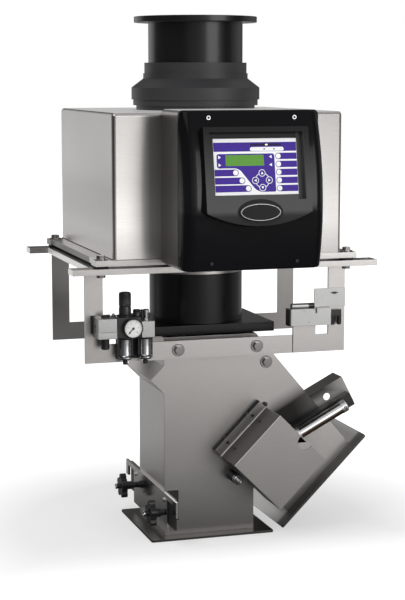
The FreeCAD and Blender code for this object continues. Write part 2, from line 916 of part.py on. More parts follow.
def bezel_screws():
    """Four socket screws through the bezel."""
    made = []
    for i, (x, z) in enumerate(bezel_screw_places(), 1):
        seat = bezel_screw_seat(z)
        front = seat - d.screw_sink * 2
        head = rod(f"bezel_screw_{i}_head", d.cap_screw_radius, (x, front, z), d.screw_sink * 2, "y")
        shank = rod(f"bezel_screw_{i}_shank", d.cap_screw_radius / 2, (x, seat, z),
                    d.bezel_wall * 2, "y")
        socket = hexagon(f"bezel_screw_{i}_socket", d.cap_screw_radius / 2, (x, front, z),
                         d.screw_sink, "y")
        made.append(cut(f"bezel_screw_{i}", join(f"bezel_screw_{i}_solid", head, shank), socket))
    return group("bezel_screws", *made)


# Frames

def frame(name, length, bottom, side_outer, holes):
    """Four flat bars, two long and two between them, pierced by the given tools."""
    out = d.frame_depth / 2
    inside = out - d.bar_width
    top = bottom + d.bar_thickness
    bars = [box(f"{name}_front", (-(length / 2), length / 2), (-out, -inside), (bottom, top)),
            box(f"{name}_rear", (-(length / 2), length / 2), (inside, out), (bottom, top)),
            box(f"{name}_left", (-side_outer, d.bar_width - side_outer), (-inside, inside), (bottom, top)),
            box(f"{name}_right", (side_outer - d.bar_width, side_outer), (-inside, inside), (bottom, top))]
    pierced = []
    for side, bar in zip((-1, 1), bars[:2]):
        tools = [make(side) for make in holes]
        pierced.append(cut(bar.Name + "_pierced", bar, *tools))
    return group(name, *pierced, bars[2], bars[3])


def frame_hole(name, bottom, across_side):
    """A maker of one bolt hole in the front (-1) or rear (1) bar."""
    row = (d.frame_depth - d.bar_width) / 2

    def make(side):
        return rod(f"{name}_{across_side + 1}_{side + 1}", d.bolt_radius + d.bolt_gap,
                   (bolt_across * across_side, row * side, bottom), d.bar_thickness, "z")
    return make


def frame_slot(bottom, across_side):
    """A maker of one mounting slot, long in X, at the end of the front or rear bar."""
    row = (d.frame_depth - d.bar_width) / 2
    radius = d.slot_width / 2
    reach = (d.slot_length - d.slot_width) / 2

    def make(side):
        tag = f"slot_{across_side + 1}_{side + 1}"
        middle = d.slot_across * across_side
        level = row * side
        ends = [rod(f"{tag}_end_{i}", radius, (middle + reach * i, level, bottom), d.bar_thickness, "z")
                for i in (-1, 1)]
        middle_box = box(f"{tag}_middle", (middle - reach, middle + reach),
                         (level - radius, level + radius), (bottom, bottom + d.bar_thickness))
        return join(tag, middle_box, *ends)
    return make


def upper_frame():
    """The frame that the head stands on."""
    holes = [frame_hole("upper_hole", upper_bottom, s) for s in (-1, 1)]
    return frame("upper_frame", d.upper_length, upper_bottom,
                 d.upper_length / 2 - d.upper_side_inset, holes)


def lower_frame():
    """The frame that is bolted to the machine below, with slots at its corners."""
    bottom = d.frame_bottom
    holes = [frame_hole("lower_hole", bottom, s) for s in (-1, 1)]
    holes += [frame_slot(bottom, s) for s in (-1, 1)]
    return frame("lower_frame", d.lower_length, bottom, half.hanger, holes)


def corners():
    """The four bolt places of the frames."""
    row = (d.frame_depth - d.bar_width) / 2
    return [(bolt_across * x, row * y) for x in (-1, 1) for y in (-1, 1)]


def isolation_pads():
    """Rubber washers that keep vibration out of the head."""
    pads = []
    for i, (x, y) in enumerate(corners(), 1):
        disc = rod(f"pad_{i}_disc", d.pad_radius, (x, y, lower_top), d.pad_thickness, "z")
        hole = rod(f"pad_{i}_hole", d.bolt_radius + d.bolt_gap, (x, y, lower_top), d.pad_thickness, "z")
        pads.append(cut(f"pad_{i}", disc, hole))
    return group("isolation_pads", *pads)


# Bolts

def bolt(name, start, grip, axis, nut=True):
    """A hexagon bolt whose washer bears at start; the shank runs by grip along the axis."""
    sign = 1 if grip.value > 0 else -1
    grip = grip * sign
    index = "xyz".index(axis)

    def spot(offset):
        point = [size(c) for c in start]
        point[index] = point[index] + offset
        return point

    head_low = -(d.washer_thickness + d.bolt_head_height) if sign > 0 else d.washer_thickness
    washer_low = -d.washer_thickness if sign > 0 else size(0)
    shank_low = size(0) if sign > 0 else -(grip + d.bolt_head_height)
    parts = [hexagon(name + "_head", d.bolt_head_radius, spot(head_low), d.bolt_head_height, axis),
             rod(name + "_washer", d.washer_radius, spot(washer_low), d.washer_thickness, axis),
             rod(name + "_shank", d.bolt_radius, spot(shank_low), grip + d.bolt_head_height, axis)]
    if nut:
        nut_low = grip if sign > 0 else -(grip + d.bolt_head_height)
        parts.append(hexagon(name + "_nut", d.bolt_head_radius, spot(nut_low),
                             d.bolt_head_height, axis))
    return join(name, *parts)


def hex_bolts():
    """The bolts of the frames, of the chute's supports and of the chute's side."""
    made = []
    frame_grip = d.bar_thickness * 2 + d.pad_thickness
    for i, (x, y) in enumerate(corners(), 1):
        made.append(bolt(f"frame_bolt_{i}", (x, y, head_bottom), -frame_grip, "z"))
    support_grip = d.hanger_sheet + d.support_sheet
    for side in (-1, 1):
        for across in (-1, 1):
            start = (d.support_bolt_across * across, hanger_front * -side, d.support_bolt_height)
            made.append(bolt(f"support_bolt_{side + 1}_{across + 1}", start, support_grip * -side, "y"))
    made.append(bolt("chute_bolt", (d.chute_bolt_across, plate_front, d.chute_bolt_height),
                     d.chute_sheet, "y", nut=False))
    return group("hex_bolts", *made)


def bolt_holes(name, across_list, height, low, length):
    """Round holes along Y for bolts at one height."""
    return [rod(f"{name}_{i}", d.bolt_radius + d.bolt_gap, (x, low, height), length, "y")
            for i, x in enumerate(across_list, 1)]


# Hangers

def support_across():
    """Across places of the two bolts in each hanger bar."""
    return [-d.support_bolt_across, d.support_bolt_across]


def front_hanger_left():
    """The front hanger: a strip on the left and the bar that carries the chute."""
    left = -half.hanger
    blank = plate("front_hanger_left_blank", [
        (left, d.hanger_bottom), (d.hanger_joint, d.hanger_bottom), (d.hanger_joint, hanger_bar_top),
        (left + d.hanger_strip, hanger_bar_top), (left + d.hanger_strip, d.frame_bottom),
        (left, d.frame_bottom)], hanger_front, hanger_back)
    holes = bolt_holes("front_hanger_hole", support_across(), d.support_bolt_height, hanger_front,
                       d.hanger_sheet)
    return cut("front_hanger_left", blank, *holes)


def front_hanger_right():
    """The right end of the front hanger, with the window below the valve block."""
    right = half.hanger
    left = d.hanger_joint + d.hanger_joint_gap
    blank = plate("front_hanger_right_blank", [
        (left, d.hanger_bottom), (right, d.hanger_bottom), (right, d.frame_bottom),
        (right - d.hanger_strip, d.frame_bottom), (right - d.hanger_strip, d.hanger_plate_top),
        (left, d.hanger_plate_top)], hanger_front, hanger_back)
    window = box("hanger_window", (d.window_left, d.window_left + d.window_width),
                 (hanger_front, hanger_back), (d.window_bottom, d.window_bottom + d.window_height))
    return cut("front_hanger_right", blank, window)


def rear_hanger():
    """The rear hanger, one piece like the letter U."""
    right = half.hanger
    inner = right - d.hanger_strip
    blank = plate("rear_hanger_blank", [
        (-right, d.hanger_bottom), (right, d.hanger_bottom), (right, d.frame_bottom),
        (inner, d.frame_bottom), (inner, hanger_bar_top), (-inner, hanger_bar_top),
        (-inner, d.frame_bottom), (-right, d.frame_bottom)], -hanger_back, -hanger_front)
    holes = bolt_holes("rear_hanger_hole", support_across(), d.support_bolt_height, -hanger_back,
                       d.hanger_sheet)
    return cut("rear_hanger", blank, *holes)


def chute_supports():
    """Angles that tie the chute to the hanger bars, one in front and one behind."""
    made = []
    reach = d.support_length / 2
    low = d.hanger_bottom + d.bolt_gap * 4
    for side, tag in ((-1, "front"), (1, "rear")):
        outer = hanger_back * -side
        inner = (hanger_back + d.support_sheet) * -side
        face = plate_front * -side
        upright_leg = box(f"support_{tag}_upright", (-reach, reach), ordered(outer, inner),
                          (low, low + d.support_height))
        flat_leg = box(f"support_{tag}_flat", (-reach, reach), ordered(inner, face),
                       (low, low + d.support_sheet))
        holes = bolt_holes(f"support_{tag}_hole", support_across(), d.support_bolt_height,
                           ordered(outer, inner)[0], d.support_sheet)
        made.append(cut(f"support_{tag}", join(f"support_{tag}_angle", upright_leg, flat_leg), *holes))
    return group("chute_supports", *made)


def ordered(first, second):
    """The two sizes, the lower first."""
    return (first, second) if first.value < second.value else (second, first)


# Chute

def leg_point(along, across):
    """A point of the reject leg: along its fall and across it, from the crotch."""
    along, across = size(along), size(across)
    x = half.chute + (along + across) * ROOT_HALF
    z = d.crotch_height + (across - along) * ROOT_HALF
    return x, z


def chute_outline():
    """Outline of the chute's front and rear plates."""
    left = -half.chute
    low = leg_point(d.reject_length, 0)
    high = leg_point(d.reject_length, d.chute_width)
    return [
        (left, d.flange_thickness), (half.chute, d.flange_thickness), (half.chute, d.crotch_height),
        low, high, (d.chute_top_right, d.chute_top), (left, d.chute_top),
        (left, d.pocket_middle + d.pocket_reach), (left - d.pocket_reach, d.pocket_middle),
        (left, d.pocket_middle - d.pocket_reach)]


def chute_side_plates():
    """The front and rear plates of the chute, pierced for the flap's bushes."""
    made = []
    bush = d.shaft_radius + d.running_gap + d.bush_wall
    for tag, low, high in (("front", plate_front, plate_inside), ("rear", -plate_inside, -plate_front)):
        blank = plate(f"side_plate_{tag}_blank", chute_outline(), low, high)
        hole = rod(f"side_plate_{tag}_hole", bush, (d.pivot_across, low, d.pivot_height),
                   d.chute_sheet, "y")
        tools = [hole]
        if tag == "front":
            tools += bolt_holes("side_plate_bolt", [d.chute_bolt_across], d.chute_bolt_height,
                                low, d.chute_sheet)
        made.append(cut(f"side_plate_{tag}", blank, *tools))
    return group("chute_side_plates", *made)


def chute_left_wall():
    """The left wall with the pocket for the flap's edge and the hatch opening below."""
    left = -half.chute
    inner = left + d.chute_sheet
    bend = d.chute_sheet * (math.sqrt(2) - 1)
    top_bend = d.pocket_middle + d.pocket_reach
    low_bend = d.pocket_middle - d.pocket_reach
    apex = left - d.pocket_reach
    blank = plate("left_wall_blank", [
        (left, d.flange_thickness), (inner, d.flange_thickness), (inner, low_bend + bend),
        (apex + d.chute_sheet * math.sqrt(2), d.pocket_middle), (inner, top_bend - bend),
        (inner, d.chute_top), (left, d.chute_top), (left, top_bend), (apex, d.pocket_middle),
        (left, low_bend)], plate_inside, -plate_inside)
    opening = box("hatch_opening", (left, inner), (-(d.hatch_hole_depth / 2), d.hatch_hole_depth / 2),
                  (d.hatch_hole_bottom, d.hatch_hole_bottom + d.hatch_hole_height))
    return cut("chute_left_wall", blank, opening)


def chute_right_wall():
    """The sloping right wall, from the mouth to the end of the reject leg."""
    high_x, high_z = leg_point(d.reject_length, d.chute_width)
    run = high_x - d.chute_top_right
    drop = d.chute_top - high_z
    length = root(run * run + drop * drop)
    top_step = d.chute_sheet * length / drop
    end_step = d.chute_sheet * length / (run + drop)
    return plate("chute_right_wall", [
        (d.chute_top_right, d.chute_top), (d.chute_top_right - top_step, d.chute_top),
        (high_x - end_step, high_z - end_step), (high_x, high_z)], plate_inside, -plate_inside)


def chute_divider():
    """The bent sheet between the accept leg and the reject leg."""
    low_x, low_z = leg_point(d.reject_length, 0)
    step = d.chute_sheet * ROOT_HALF
    inner = half.chute - d.chute_sheet
    ridge = d.crotch_height + d.chute_sheet * (math.sqrt(2) + 1)
    return plate("chute_divider", [
        (inner, d.flange_thickness), (half.chute, d.flange_thickness), (half.chute, d.crotch_height),
        (low_x, low_z), (low_x + step, low_z + step), (inner, ridge)], plate_inside, -plate_inside)


def accept_flange():
    """The flange under the accept leg, which the detector is mounted by."""
    wide = d.accept_flange_width / 2
    deep = d.flange_depth / 2
    slab = box("accept_slab", (-wide, wide), (-deep, deep), (0, d.flange_thickness))
    rounded = round_edges("accept_rounded", slab, d.flange_thickness.value, upright)
    inner = half.chute - d.chute_sheet
    hole = box("accept_hole", (-inner, inner), (plate_inside, -plate_inside), (0, d.flange_thickness))
    return cut("accept_flange", rounded, hole)


def reject_flange():
    """The flange across the end of the reject leg."""
    origin = (half.chute, d.crotch_height)
    spare = (d.reject_flange_width - d.chute_width) / 2
    deep = d.flange_depth / 2
    along = (d.reject_length, d.reject_length + d.flange_thickness)
    slab = box("reject_slab", along, (-deep, deep), (-spare, d.chute_width + spare),
               angle=-45.0, origin=origin)
    hole = box("reject_hole", along, (plate_inside, -plate_inside),
               (d.chute_sheet, d.chute_width - d.chute_sheet), angle=-45.0, origin=origin)
    rounded = round_edges("reject_rounded", slab, d.flange_thickness.value, runs_down_right)
    return cut("reject_flange", rounded, hole)


def runs_down_right(edge):
    """True for a straight edge along the fall of the reject leg."""
    if not isinstance(edge.Curve, Part.Line):
        return False
    way = edge.tangentAt(edge.FirstParameter)
    return abs(abs(way.x) - ROOT_HALF) < 1e-6 and abs(way.x + way.z) < 1e-6


# Hatch and star knobs

def hatch_face():
    """X of the hatch plate's outer face."""
    return -(half.chute + d.hatch_sheet)


def hatch_plate():
    """The plate over the hatch, with hooks at both ends."""
    end = d.hatch_length / 2
    body = d.hatch_body / 2
    ear = end - d.hatch_ear_width
    under = d.hatch_top - d.hatch_arm
    ear_low = d.hatch_top - d.hatch_ear_drop
    blank = plate("hatch_blank", [
        (-end, d.hatch_top), (-end, ear_low), (-ear, ear_low), (-ear, under), (-body, under),
        (-body, d.hatch_bottom), (body, d.hatch_bottom), (body, under), (ear, under),
        (ear, ear_low), (end, ear_low), (end, d.hatch_top)], hatch_face(), -half.chute, "x")
    holes = [rod(f"hatch_hole_{side + 1}", d.stud_radius + d.stud_hole_gap,
                 (hatch_face(), d.knob_across * side, d.knob_height), d.hatch_sheet, "x")
             for side in (-1, 1)]
    return cut("hatch_plate", blank, *holes)


def latch_brackets():
    """Black angles on the chute's sides that the knobs screw into."""
    made = []
    left = -half.chute
    rise = (d.latch_bottom, d.latch_bottom + d.latch_height)
    for side, tag in ((-1, "front"), (1, "rear")):
        near = half.depth * side
        far = (half.depth + d.latch_reach) * side
        wing = box(f"latch_{tag}_wing", (left, left + d.latch_sheet), ordered(near, far), rise)
        leg_far = (half.depth + d.latch_sheet) * side
        leg = box(f"latch_{tag}_leg", (left, left + d.latch_leg), ordered(near, leg_far), rise)
        hole = rod(f"latch_{tag}_hole", d.stud_radius + d.running_gap,
                   (left, d.knob_across * side, d.knob_height), d.latch_sheet, "x")
        made.append(cut(f"latch_{tag}", join(f"latch_{tag}_angle", wing, leg), hole))
    return group("latch_brackets", *made)


def star_knob(name, side):
    """A lobed knob on its stud, in front (-1) or behind (1)."""
    y, z = d.knob_across * side, d.knob_height
    hub_end = hatch_face() - d.knob_standoff
    disc_end = hub_end - d.knob_hub_length
    disc_start = disc_end - d.knob_thickness
    core = rod(name + "_core", d.knob_radius - d.knob_lobe, (disc_start, y, z), d.knob_thickness, "x")
    lobes = []
    reach = d.knob_radius - d.knob_lobe
    for i in range(KNOB_LOBES):
        angle = math.radians(360.0 / KNOB_LOBES * i + 90.0)
        lobes.append(rod(f"{name}_lobe_{i}", d.knob_lobe,
                         (disc_start, y + reach * math.cos(angle), z + reach * math.sin(angle)),
                         d.knob_thickness, "x"))
    hub = rod(name + "_hub", d.knob_hub_radius, (disc_end, y, z), d.knob_hub_length, "x")
    end = rod(name + "_end", d.knob_end_radius, (disc_start - d.knob_end_length, y, z),
              d.knob_end_length, "x")
    neck = rod(name + "_neck", d.knob_neck_radius, (hub_end, y, z),
               d.knob_standoff - d.stud_hole_gap, "x")
    stud_length = d.knob_standoff + d.hatch_sheet + d.latch_sheet * 2
    stud = rod(name + "_stud", d.stud_radius, (hub_end, y, z), stud_length, "x")
    return join(name, core, *lobes, hub, end, neck, stud)


# Flap and its drive

def flap():
    """The diverter flap on its shaft, upright so that product is accepted."""
    x, z = d.pivot_across, d.pivot_height
    inside = half.depth - d.chute_sheet - d.flap_side_gap
    blade = box("flap_blade", (x - d.flap_offset, x - d.flap_offset + d.flap_sheet),
                (-inside, inside), (z + d.flap_lift, z + d.flap_length))
    web = box("flap_web", (x - d.flap_offset, x), (-inside, inside),
              (z + d.flap_lift, z + d.flap_lift + d.flap_sheet * 2))
    sleeve = rod("flap_sleeve", d.shaft_radius, (x, -inside, z), inside * 2, "y")
    front_end = half.depth + d.bush_flange_thickness + d.crank_start + d.crank_boss_length
    rear_end = half.depth + d.bush_flange_thickness * 2
    shaft = rod("flap_shaft", d.shaft_radius, (x, -front_end, z), front_end + rear_end, "y")
    return join("flap", blade, web, sleeve, shaft)


def flap_bushes():
    """Flanged bushes of the flap's shaft in the chute's side plates."""
    made = []
    inner = d.shaft_radius + d.running_gap
    outer = inner + d.bush_wall
    for side, tag in ((-1, "front"), (1, "rear")):
        flange_far = (half.depth + d.bush_flange_thickness) * side
        face = half.depth * side
        wall_in = (half.depth - d.chute_sheet) * side
        flange = ordered(flange_far, face)
        sleeve = ordered(face, wall_in)
        spot = (d.pivot_across, flange[0], d.pivot_height)
        ring = rod(f"bush_{tag}_flange", outer + d.bush_flange, spot, d.bush_flange_thickness, "y")
        tube = rod(f"bush_{tag}_sleeve", outer, (d.pivot_across, sleeve[0], d.pivot_height),
                   d.chute_sheet, "y")
        start = ordered(flange[0], sleeve[0])[0]
        hole = rod(f"bush_{tag}_hole", inner, (d.pivot_across, start, d.pivot_height),
                   d.bush_flange_thickness + d.chute_sheet, "y")
        made.append(cut(f"bush_{tag}", join(f"bush_{tag}_solid", ring, tube), hole))
    return group("flap_bushes", *made)


def drive_point(along, across):
    """X and Z of a point along and across the cylinder's axis, measured from the flap's pivot."""
    x, z = turned_point(d.cylinder_tilt, along, across)
    return x + d.pivot_across, z + d.pivot_height


def drive_box(name, along, y, across):
    """A box square to the cylinder's axis."""
    return box(name, along, y, across, angle=d.cylinder_tilt,
               origin=(d.pivot_across, d.pivot_height))


def drive_rod(name, radius, along, across, y, length):
    """A round bar along the cylinder's axis, starting at along."""
    x, z = drive_point(along, across)
    return rod(name, radius, (x, y, z), length, (AXES["y"], 90 - d.cylinder_tilt))


# Y places of the drive, from the chute's face to the front
crank_back = plate_front - d.bush_flange_thickness - d.crank_start
crank_front = crank_back - d.crank_boss_length
drive_axis = plate_front - d.rail_depth - d.cylinder_radius
arm_y = (crank_front, crank_front + d.crank_arm_thickness)
crank_angle = d.cylinder_tilt + 90 - d.flap_swing / 2


def crank():
    """The slotted crank on the flap's shaft, at its accept place."""
    origin = (d.pivot_across, d.pivot_height)
    boss = rod("crank_boss", d.crank_boss_radius, (d.pivot_across, crank_front, d.pivot_height),
               d.crank_boss_length, "y")
    half_width = d.crank_arm_width / 2
    nearest = d.crank_offset
    farthest = root(d.crank_offset * d.crank_offset + d.crank_half_stroke * d.crank_half_stroke)
    tip = farthest + d.pin_radius + d.slot_end_gap * 4
    arm = box("crank_arm", (0, tip), arm_y, (-half_width, half_width), crank_angle, origin)
    slot_half = d.pin_radius + d.slot_side_gap
    slot = box("crank_slot", (nearest - d.pin_radius - d.slot_end_gap,
                              farthest + d.pin_radius + d.slot_end_gap),
               arm_y, (-slot_half, slot_half), crank_angle, origin)
    bore = rod("crank_bore", d.shaft_radius, (d.pivot_across, crank_front, d.pivot_height),
               d.crank_boss_length, "y")
    return cut("crank", join("crank_solid", boss, arm), slot, bore)


def piston_rod():
    """The rod with its piston inside the cylinder and its eye and pin at the crank."""
    pin_x, pin_z = drive_point(d.crank_half_stroke, d.crank_offset)
    eye_back = drive_axis + d.rod_eye_thickness / 2
    eye = rod("rod_eye", d.rod_eye_radius, (pin_x, eye_back - d.rod_eye_thickness, pin_z),
              d.rod_eye_thickness, "y")
    pin_length = crank_front + d.crank_arm_thickness + d.slot_end_gap - (eye_back - d.rod_eye_thickness)
    pin = rod("rod_pin", d.pin_radius, (pin_x, eye_back - d.rod_eye_thickness, pin_z),
              pin_length, "y")
    start = d.crank_half_stroke + d.rod_eye_radius / 2
    shank = drive_rod("rod_shank", d.rod_radius, start, d.crank_offset, drive_axis,
                      d.piston_rest - start)
    piston = drive_rod("piston", d.cylinder_bore / 2 - d.running_gap, d.piston_rest,
                       d.crank_offset, drive_axis, d.piston_length)
    return join("piston_rod", eye, pin, shank, piston)


def air_cylinder():
    """The round cylinder body with its bore and the gland for the rod."""
    body = drive_rod("cylinder_body", d.cylinder_radius, d.cylinder_start, d.crank_offset,
                     drive_axis, d.cylinder_length)
    bore = drive_rod("cylinder_bore", d.cylinder_bore / 2, d.cylinder_start + d.cylinder_cap,
                     d.crank_offset, drive_axis, d.cylinder_length - d.cylinder_cap * 2)
    gland = drive_rod("cylinder_gland", d.rod_radius + d.running_gap, d.cylinder_start,
                      d.crank_offset, drive_axis, d.cylinder_cap)
    feet = []
    for i, start in enumerate((d.rail_start, d.cylinder_start + d.cylinder_length), 1):
        reach = d.cylinder_cap if i == 1 else -d.cylinder_cap
        along = ordered(start, start + reach)
        feet.append(drive_box(f"cylinder_foot_{i}", along, (drive_axis, plate_front - d.rail_depth),
                              (d.crank_offset - d.cylinder_radius, d.crank_offset + d.cylinder_radius)))
    return cut("air_cylinder", join("cylinder_solid", body, *feet), bore, gland)


def cylinder_rail():
    """The black block between the cylinder and the bracket."""
    wide = d.rail_width / 2
    return drive_box("cylinder_rail", (d.rail_start, d.rail_end), (plate_front - d.rail_depth, plate_front),
                     (d.crank_offset - wide, d.crank_offset + wide))


def cylinder_bracket():
    """The folded bracket on the sloping wall that carries the cylinder."""
    back = plate_front + d.bracket_sheet
    web = drive_box("bracket_web", (0, d.bracket_end), (plate_front, back),
                    (d.bracket_low, d.bracket_high))
    flange = drive_box("bracket_flange", (0, d.bracket_end), (plate_front, plate_front + d.bracket_flange),
                       (d.bracket_high - d.bracket_sheet, d.bracket_high))
    folded = join("bracket_folded", web, flange)
    hole_x, hole_z = drive_point(d.bracket_hole_along, d.bracket_hole_high)
    hole = rod("bracket_hole", d.bracket_hole_radius, (hole_x, plate_front, hole_z), d.bracket_sheet, "y")
    inside = plate("bracket_trim", chute_outline(), plate_front, -plate_front)
    return cut("cylinder_bracket", folded, hole, inside)


# Guard and sensor

def guard_box_piece(name, along, y, across):
    """A box square to the reject leg; along runs down the leg and across runs up over it."""
    return box(name, along, y, across, angle=-45.0)


def guard_box():
    """The cover over the crank, on its flange and two spacers."""
    base = plate_front - d.guard_standoff
    back = base - d.guard_sheet
    wall = d.guard_sheet
    front = -d.guard_front
    outer = guard_box_piece("guard_outside", (d.guard_left, d.guard_right), (front, plate_front),
                            (d.guard_low, d.guard_high))
    inner = guard_box_piece("guard_inside", (d.guard_left + wall, d.guard_right - wall),
                            (front + wall, plate_front), (d.guard_low + wall, d.guard_high - wall))
    low_gap = guard_box_piece("guard_low_gap", (d.guard_left, d.guard_right), (base, plate_front),
                              (d.guard_low, d.guard_low + wall))
    left_gap = guard_box_piece("guard_left_gap", (d.guard_left, d.guard_left + wall),
                               (base, plate_front), (d.guard_low, d.guard_high))
    flange = guard_box_piece("guard_flange", (d.guard_left - d.guard_flange, d.guard_left),
                             (back, base), (d.guard_low, d.guard_high))
    entry = drive_rod("guard_entry", d.cylinder_radius + d.slot_end_gap * 2,
                      d.cylinder_start - d.guard_entry_before, d.crank_offset, drive_axis,
                      d.guard_entry_length)
    notch_x, notch_z = drive_point(d.guard_notch_along, d.crank_offset + d.guard_notch_rise)
    notch = rod("guard_notch", d.guard_notch_radius, (notch_x, front, notch_z), wall, "y")
    cover = cut("guard_cover", outer, inner, low_gap, left_gap, entry, notch)
    spacers = []
    for i, across in enumerate(spacer_places(), 1):
        along = d.guard_left - d.guard_flange / 2
        x, z = turned_point(-45.0, along, across)
        spacers.append(rod(f"guard_spacer_{i}", d.spacer_radius, (x, base, z), d.guard_standoff, "y"))
    return group("guard_box", join("guard_shell", cover, flange), *spacers)


def spacer_places():
    """Places of the two spacers up the leg."""
    return [d.guard_low + d.spacer_inset, d.guard_high - d.spacer_inset]


def guard_packer():
    """The black packing strip under the guard's flange, notched for the spacers."""
    base = plate_front - d.guard_standoff
    strip = guard_box_piece("packer_strip", (d.guard_left - d.guard_flange, d.guard_left),
                            (base, plate_front), (d.guard_low, d.guard_high))
    tools = []
    for i, across in enumerate(spacer_places(), 1):
        reach = d.spacer_radius + d.bolt_gap
        tools.append(guard_box_piece(
            f"packer_notch_{i}", (d.guard_left - d.guard_flange, d.guard_left - d.guard_flange / 2 + reach),
            (base, plate_front), (across - reach, across + reach)))
    return cut("guard_packer", strip, *tools)


def flap_sensor():
    """The sensor that reports where the flap is."""
    spot = (d.sensor_across, plate_front - d.sensor_length, d.sensor_height)
    barrel = rod("sensor_barrel", d.sensor_radius, spot, d.sensor_length, "y")
    socket = hexagon("sensor_socket", d.sensor_radius / 2, spot, d.sensor_radius / 2, "y")
    return cut("flap_sensor", barrel, socket)


# Air unit and valve

air_top = d.air_bottom + d.air_block_height
air_middle = (d.air_front + d.hanger_depth / 2) / -2


def air_unit():
    """Shut-off block, filter regulator and oiler bodies in one row."""
    left = -d.air_left
    second = left + d.air_block_width
    third = second + d.air_regulator_width
    deep = (-d.air_front, hanger_front)
    block_top = d.air_bottom + d.air_inlet_height
    block = box("air_block", (left, second), deep, (d.air_bottom, block_top))
    regulator = box("air_regulator", (second, third), deep, (d.air_bottom, air_top))
    oiler = box("air_oiler", (third, third + d.air_oiler_width), deep,
                (d.air_bottom, d.air_bottom + d.air_oiler_height))
    middle = left + d.air_block_width / 2
    cap = rod("air_cap", d.air_cap_radius, (middle, air_middle, block_top), d.air_cap_height, "z")
    silencer = rod("air_silencer", d.silencer_radius, (middle, air_middle, d.air_bottom - d.silencer_length),
                   d.silencer_length, "z")
    filler = rod("oiler_cap", d.oiler_cap_radius,
                 (-d.oiler_cap_across, air_middle, d.air_bottom + d.air_oiler_height),
                 d.air_block_height - d.air_oiler_height + d.oiler_cap_height, "z")
    sight = rod("oiler_sight", d.sight_radius,
                (-d.bowl_second, air_middle, d.air_bottom + d.air_oiler_height),
                d.air_block_height - d.air_oiler_height + d.oiler_cap_height, "z")
    port = rod("air_port", d.air_port_radius, (left, air_middle, d.air_bottom + d.air_inlet_height / 2),
               d.air_port_depth, "x")
    spindle_hole = rod("spindle_hole", d.regulator_spindle_radius + d.running_gap,
                       (-d.bowl_first, air_middle, air_top - d.air_port_depth), d.air_port_depth, "z")
    body = join("air_bodies", block, regulator, oiler, cap, silencer, filler, sight)
    return cut("air_unit", body, port, spindle_hole)


def filter_bowls():
    """The bowls below the filter and the oiler, with their drains."""
    made = []
    for i, across in enumerate((d.bowl_first, d.bowl_second), 1):
        top = d.air_bottom
        spot = (-across, air_middle, top - d.bowl_height)
        cup = rod(f"bowl_{i}_outside", d.bowl_radius, spot, d.bowl_height, "z")
        inside = rod(f"bowl_{i}_inside", d.bowl_radius - d.bowl_wall,
                     (-across, air_middle, top - d.bowl_height + d.bowl_wall),
                     d.bowl_height - d.bowl_wall * 2, "z")
        drain_low = top - d.bowl_height - d.drain_length
        drain = rod(f"bowl_{i}_drain", d.drain_radius, (-across, air_middle, drain_low),
                    d.drain_length, "z")
        made.append(join(f"bowl_{i}", cut(f"bowl_{i}_cup", cup, inside), drain))
    return group("filter_bowls", *made)


def regulator_knob():
    """The pressure knob on its spindle."""
    knob = rod("regulator_grip", d.regulator_knob_radius,
               (-d.bowl_first, air_middle, air_top + d.stud_hole_gap), d.regulator_knob_height, "z")
    spindle = rod("regulator_spindle", d.regulator_spindle_radius,
                  (-d.bowl_first, air_middle, air_top - d.air_port_depth / 2),
                  d.air_port_depth / 2 + d.stud_hole_gap, "z")
    return join("regulator_knob", knob, spindle)


def pressure_gauge():
    """The gauge on the front of the regulator, with a sunk face and a pivot for the needle."""
    front = -(d.air_front + d.gauge_depth)
    spot = (-d.gauge_across, front, d.gauge_height)
    case = rod("gauge_case", d.gauge_radius, spot, d.gauge_depth, "y")
    face = rod("gauge_face", d.gauge_radius - d.gauge_rim, spot, d.gauge_face_depth, "y")
    pivot = rod("gauge_pivot", d.needle_width / 2,
                (-d.gauge_across, front + d.gauge_face_depth - d.needle_thickness * 2.5, d.gauge_height),
                d.needle_thickness * 2.5, "y")
    return join("pressure_gauge", cut("gauge_body", case, face), pivot)


def gauge_needle():
    """The needle of the gauge, at zero."""
    front = -(d.air_front + d.gauge_depth)
    back = front + d.gauge_face_depth - d.stud_hole_gap
    y = (back - d.needle_thickness, back)
    hub = rod("needle_hub", d.needle_width * 1.5, (-d.gauge_across, y[0], d.gauge_height),
              d.needle_thickness, "y")
    arm = box("needle_arm", (0, d.needle_length), y, (-(d.needle_width / 2), d.needle_width / 2),
              angle=225.0, origin=(-d.gauge_across, d.gauge_height))
    hole = rod("needle_hole", d.needle_width / 2 + d.running_gap,
               (-d.gauge_across, y[0], d.gauge_height), d.needle_thickness, "y")
    return cut("gauge_needle", join("needle_solid", hub, arm), hole)


def valve_block():
    """The air valve with its coil, its mufflers and the tab that carries them."""
    right = d.valve_left + d.valve_width
    top = d.valve_bottom + d.valve_height
    front = hanger_front - d.valve_depth
    block = box("valve_body", (d.valve_left, right), (front, hanger_front), (d.valve_bottom, top))
    coil = rod("valve_coil", d.coil_radius,
               (d.valve_left + d.coil_inset, hanger_front - d.valve_depth / 2,
                top + d.coil_radius * 0.8), d.coil_length, "x")
    tab = box("valve_tab", (d.tab_left, half.hanger), (hanger_front - d.tab_sheet, hanger_front),
              (top, top + d.tab_height - d.coil_radius))
    middle = hanger_front - d.valve_depth / 2
    manifold = box("valve_manifold", (right, right + d.muffler_pitch * 2 - d.muffler_radius),
                   (middle - d.muffler_radius, hanger_front),
                   (top - d.muffler_drop / 2, top - d.muffler_radius))
    mufflers = []
    for i in range(2):
        x = right + d.muffler_radius * 1.5 + d.muffler_pitch * i
        mufflers.append(rod(f"muffler_{i + 1}", d.muffler_radius, (x, middle, top - d.muffler_drop),
                            d.muffler_drop - d.muffler_radius, "z"))
    return join("valve_block", block, coil, tab, manifold, *mufflers)


# Build, check and write

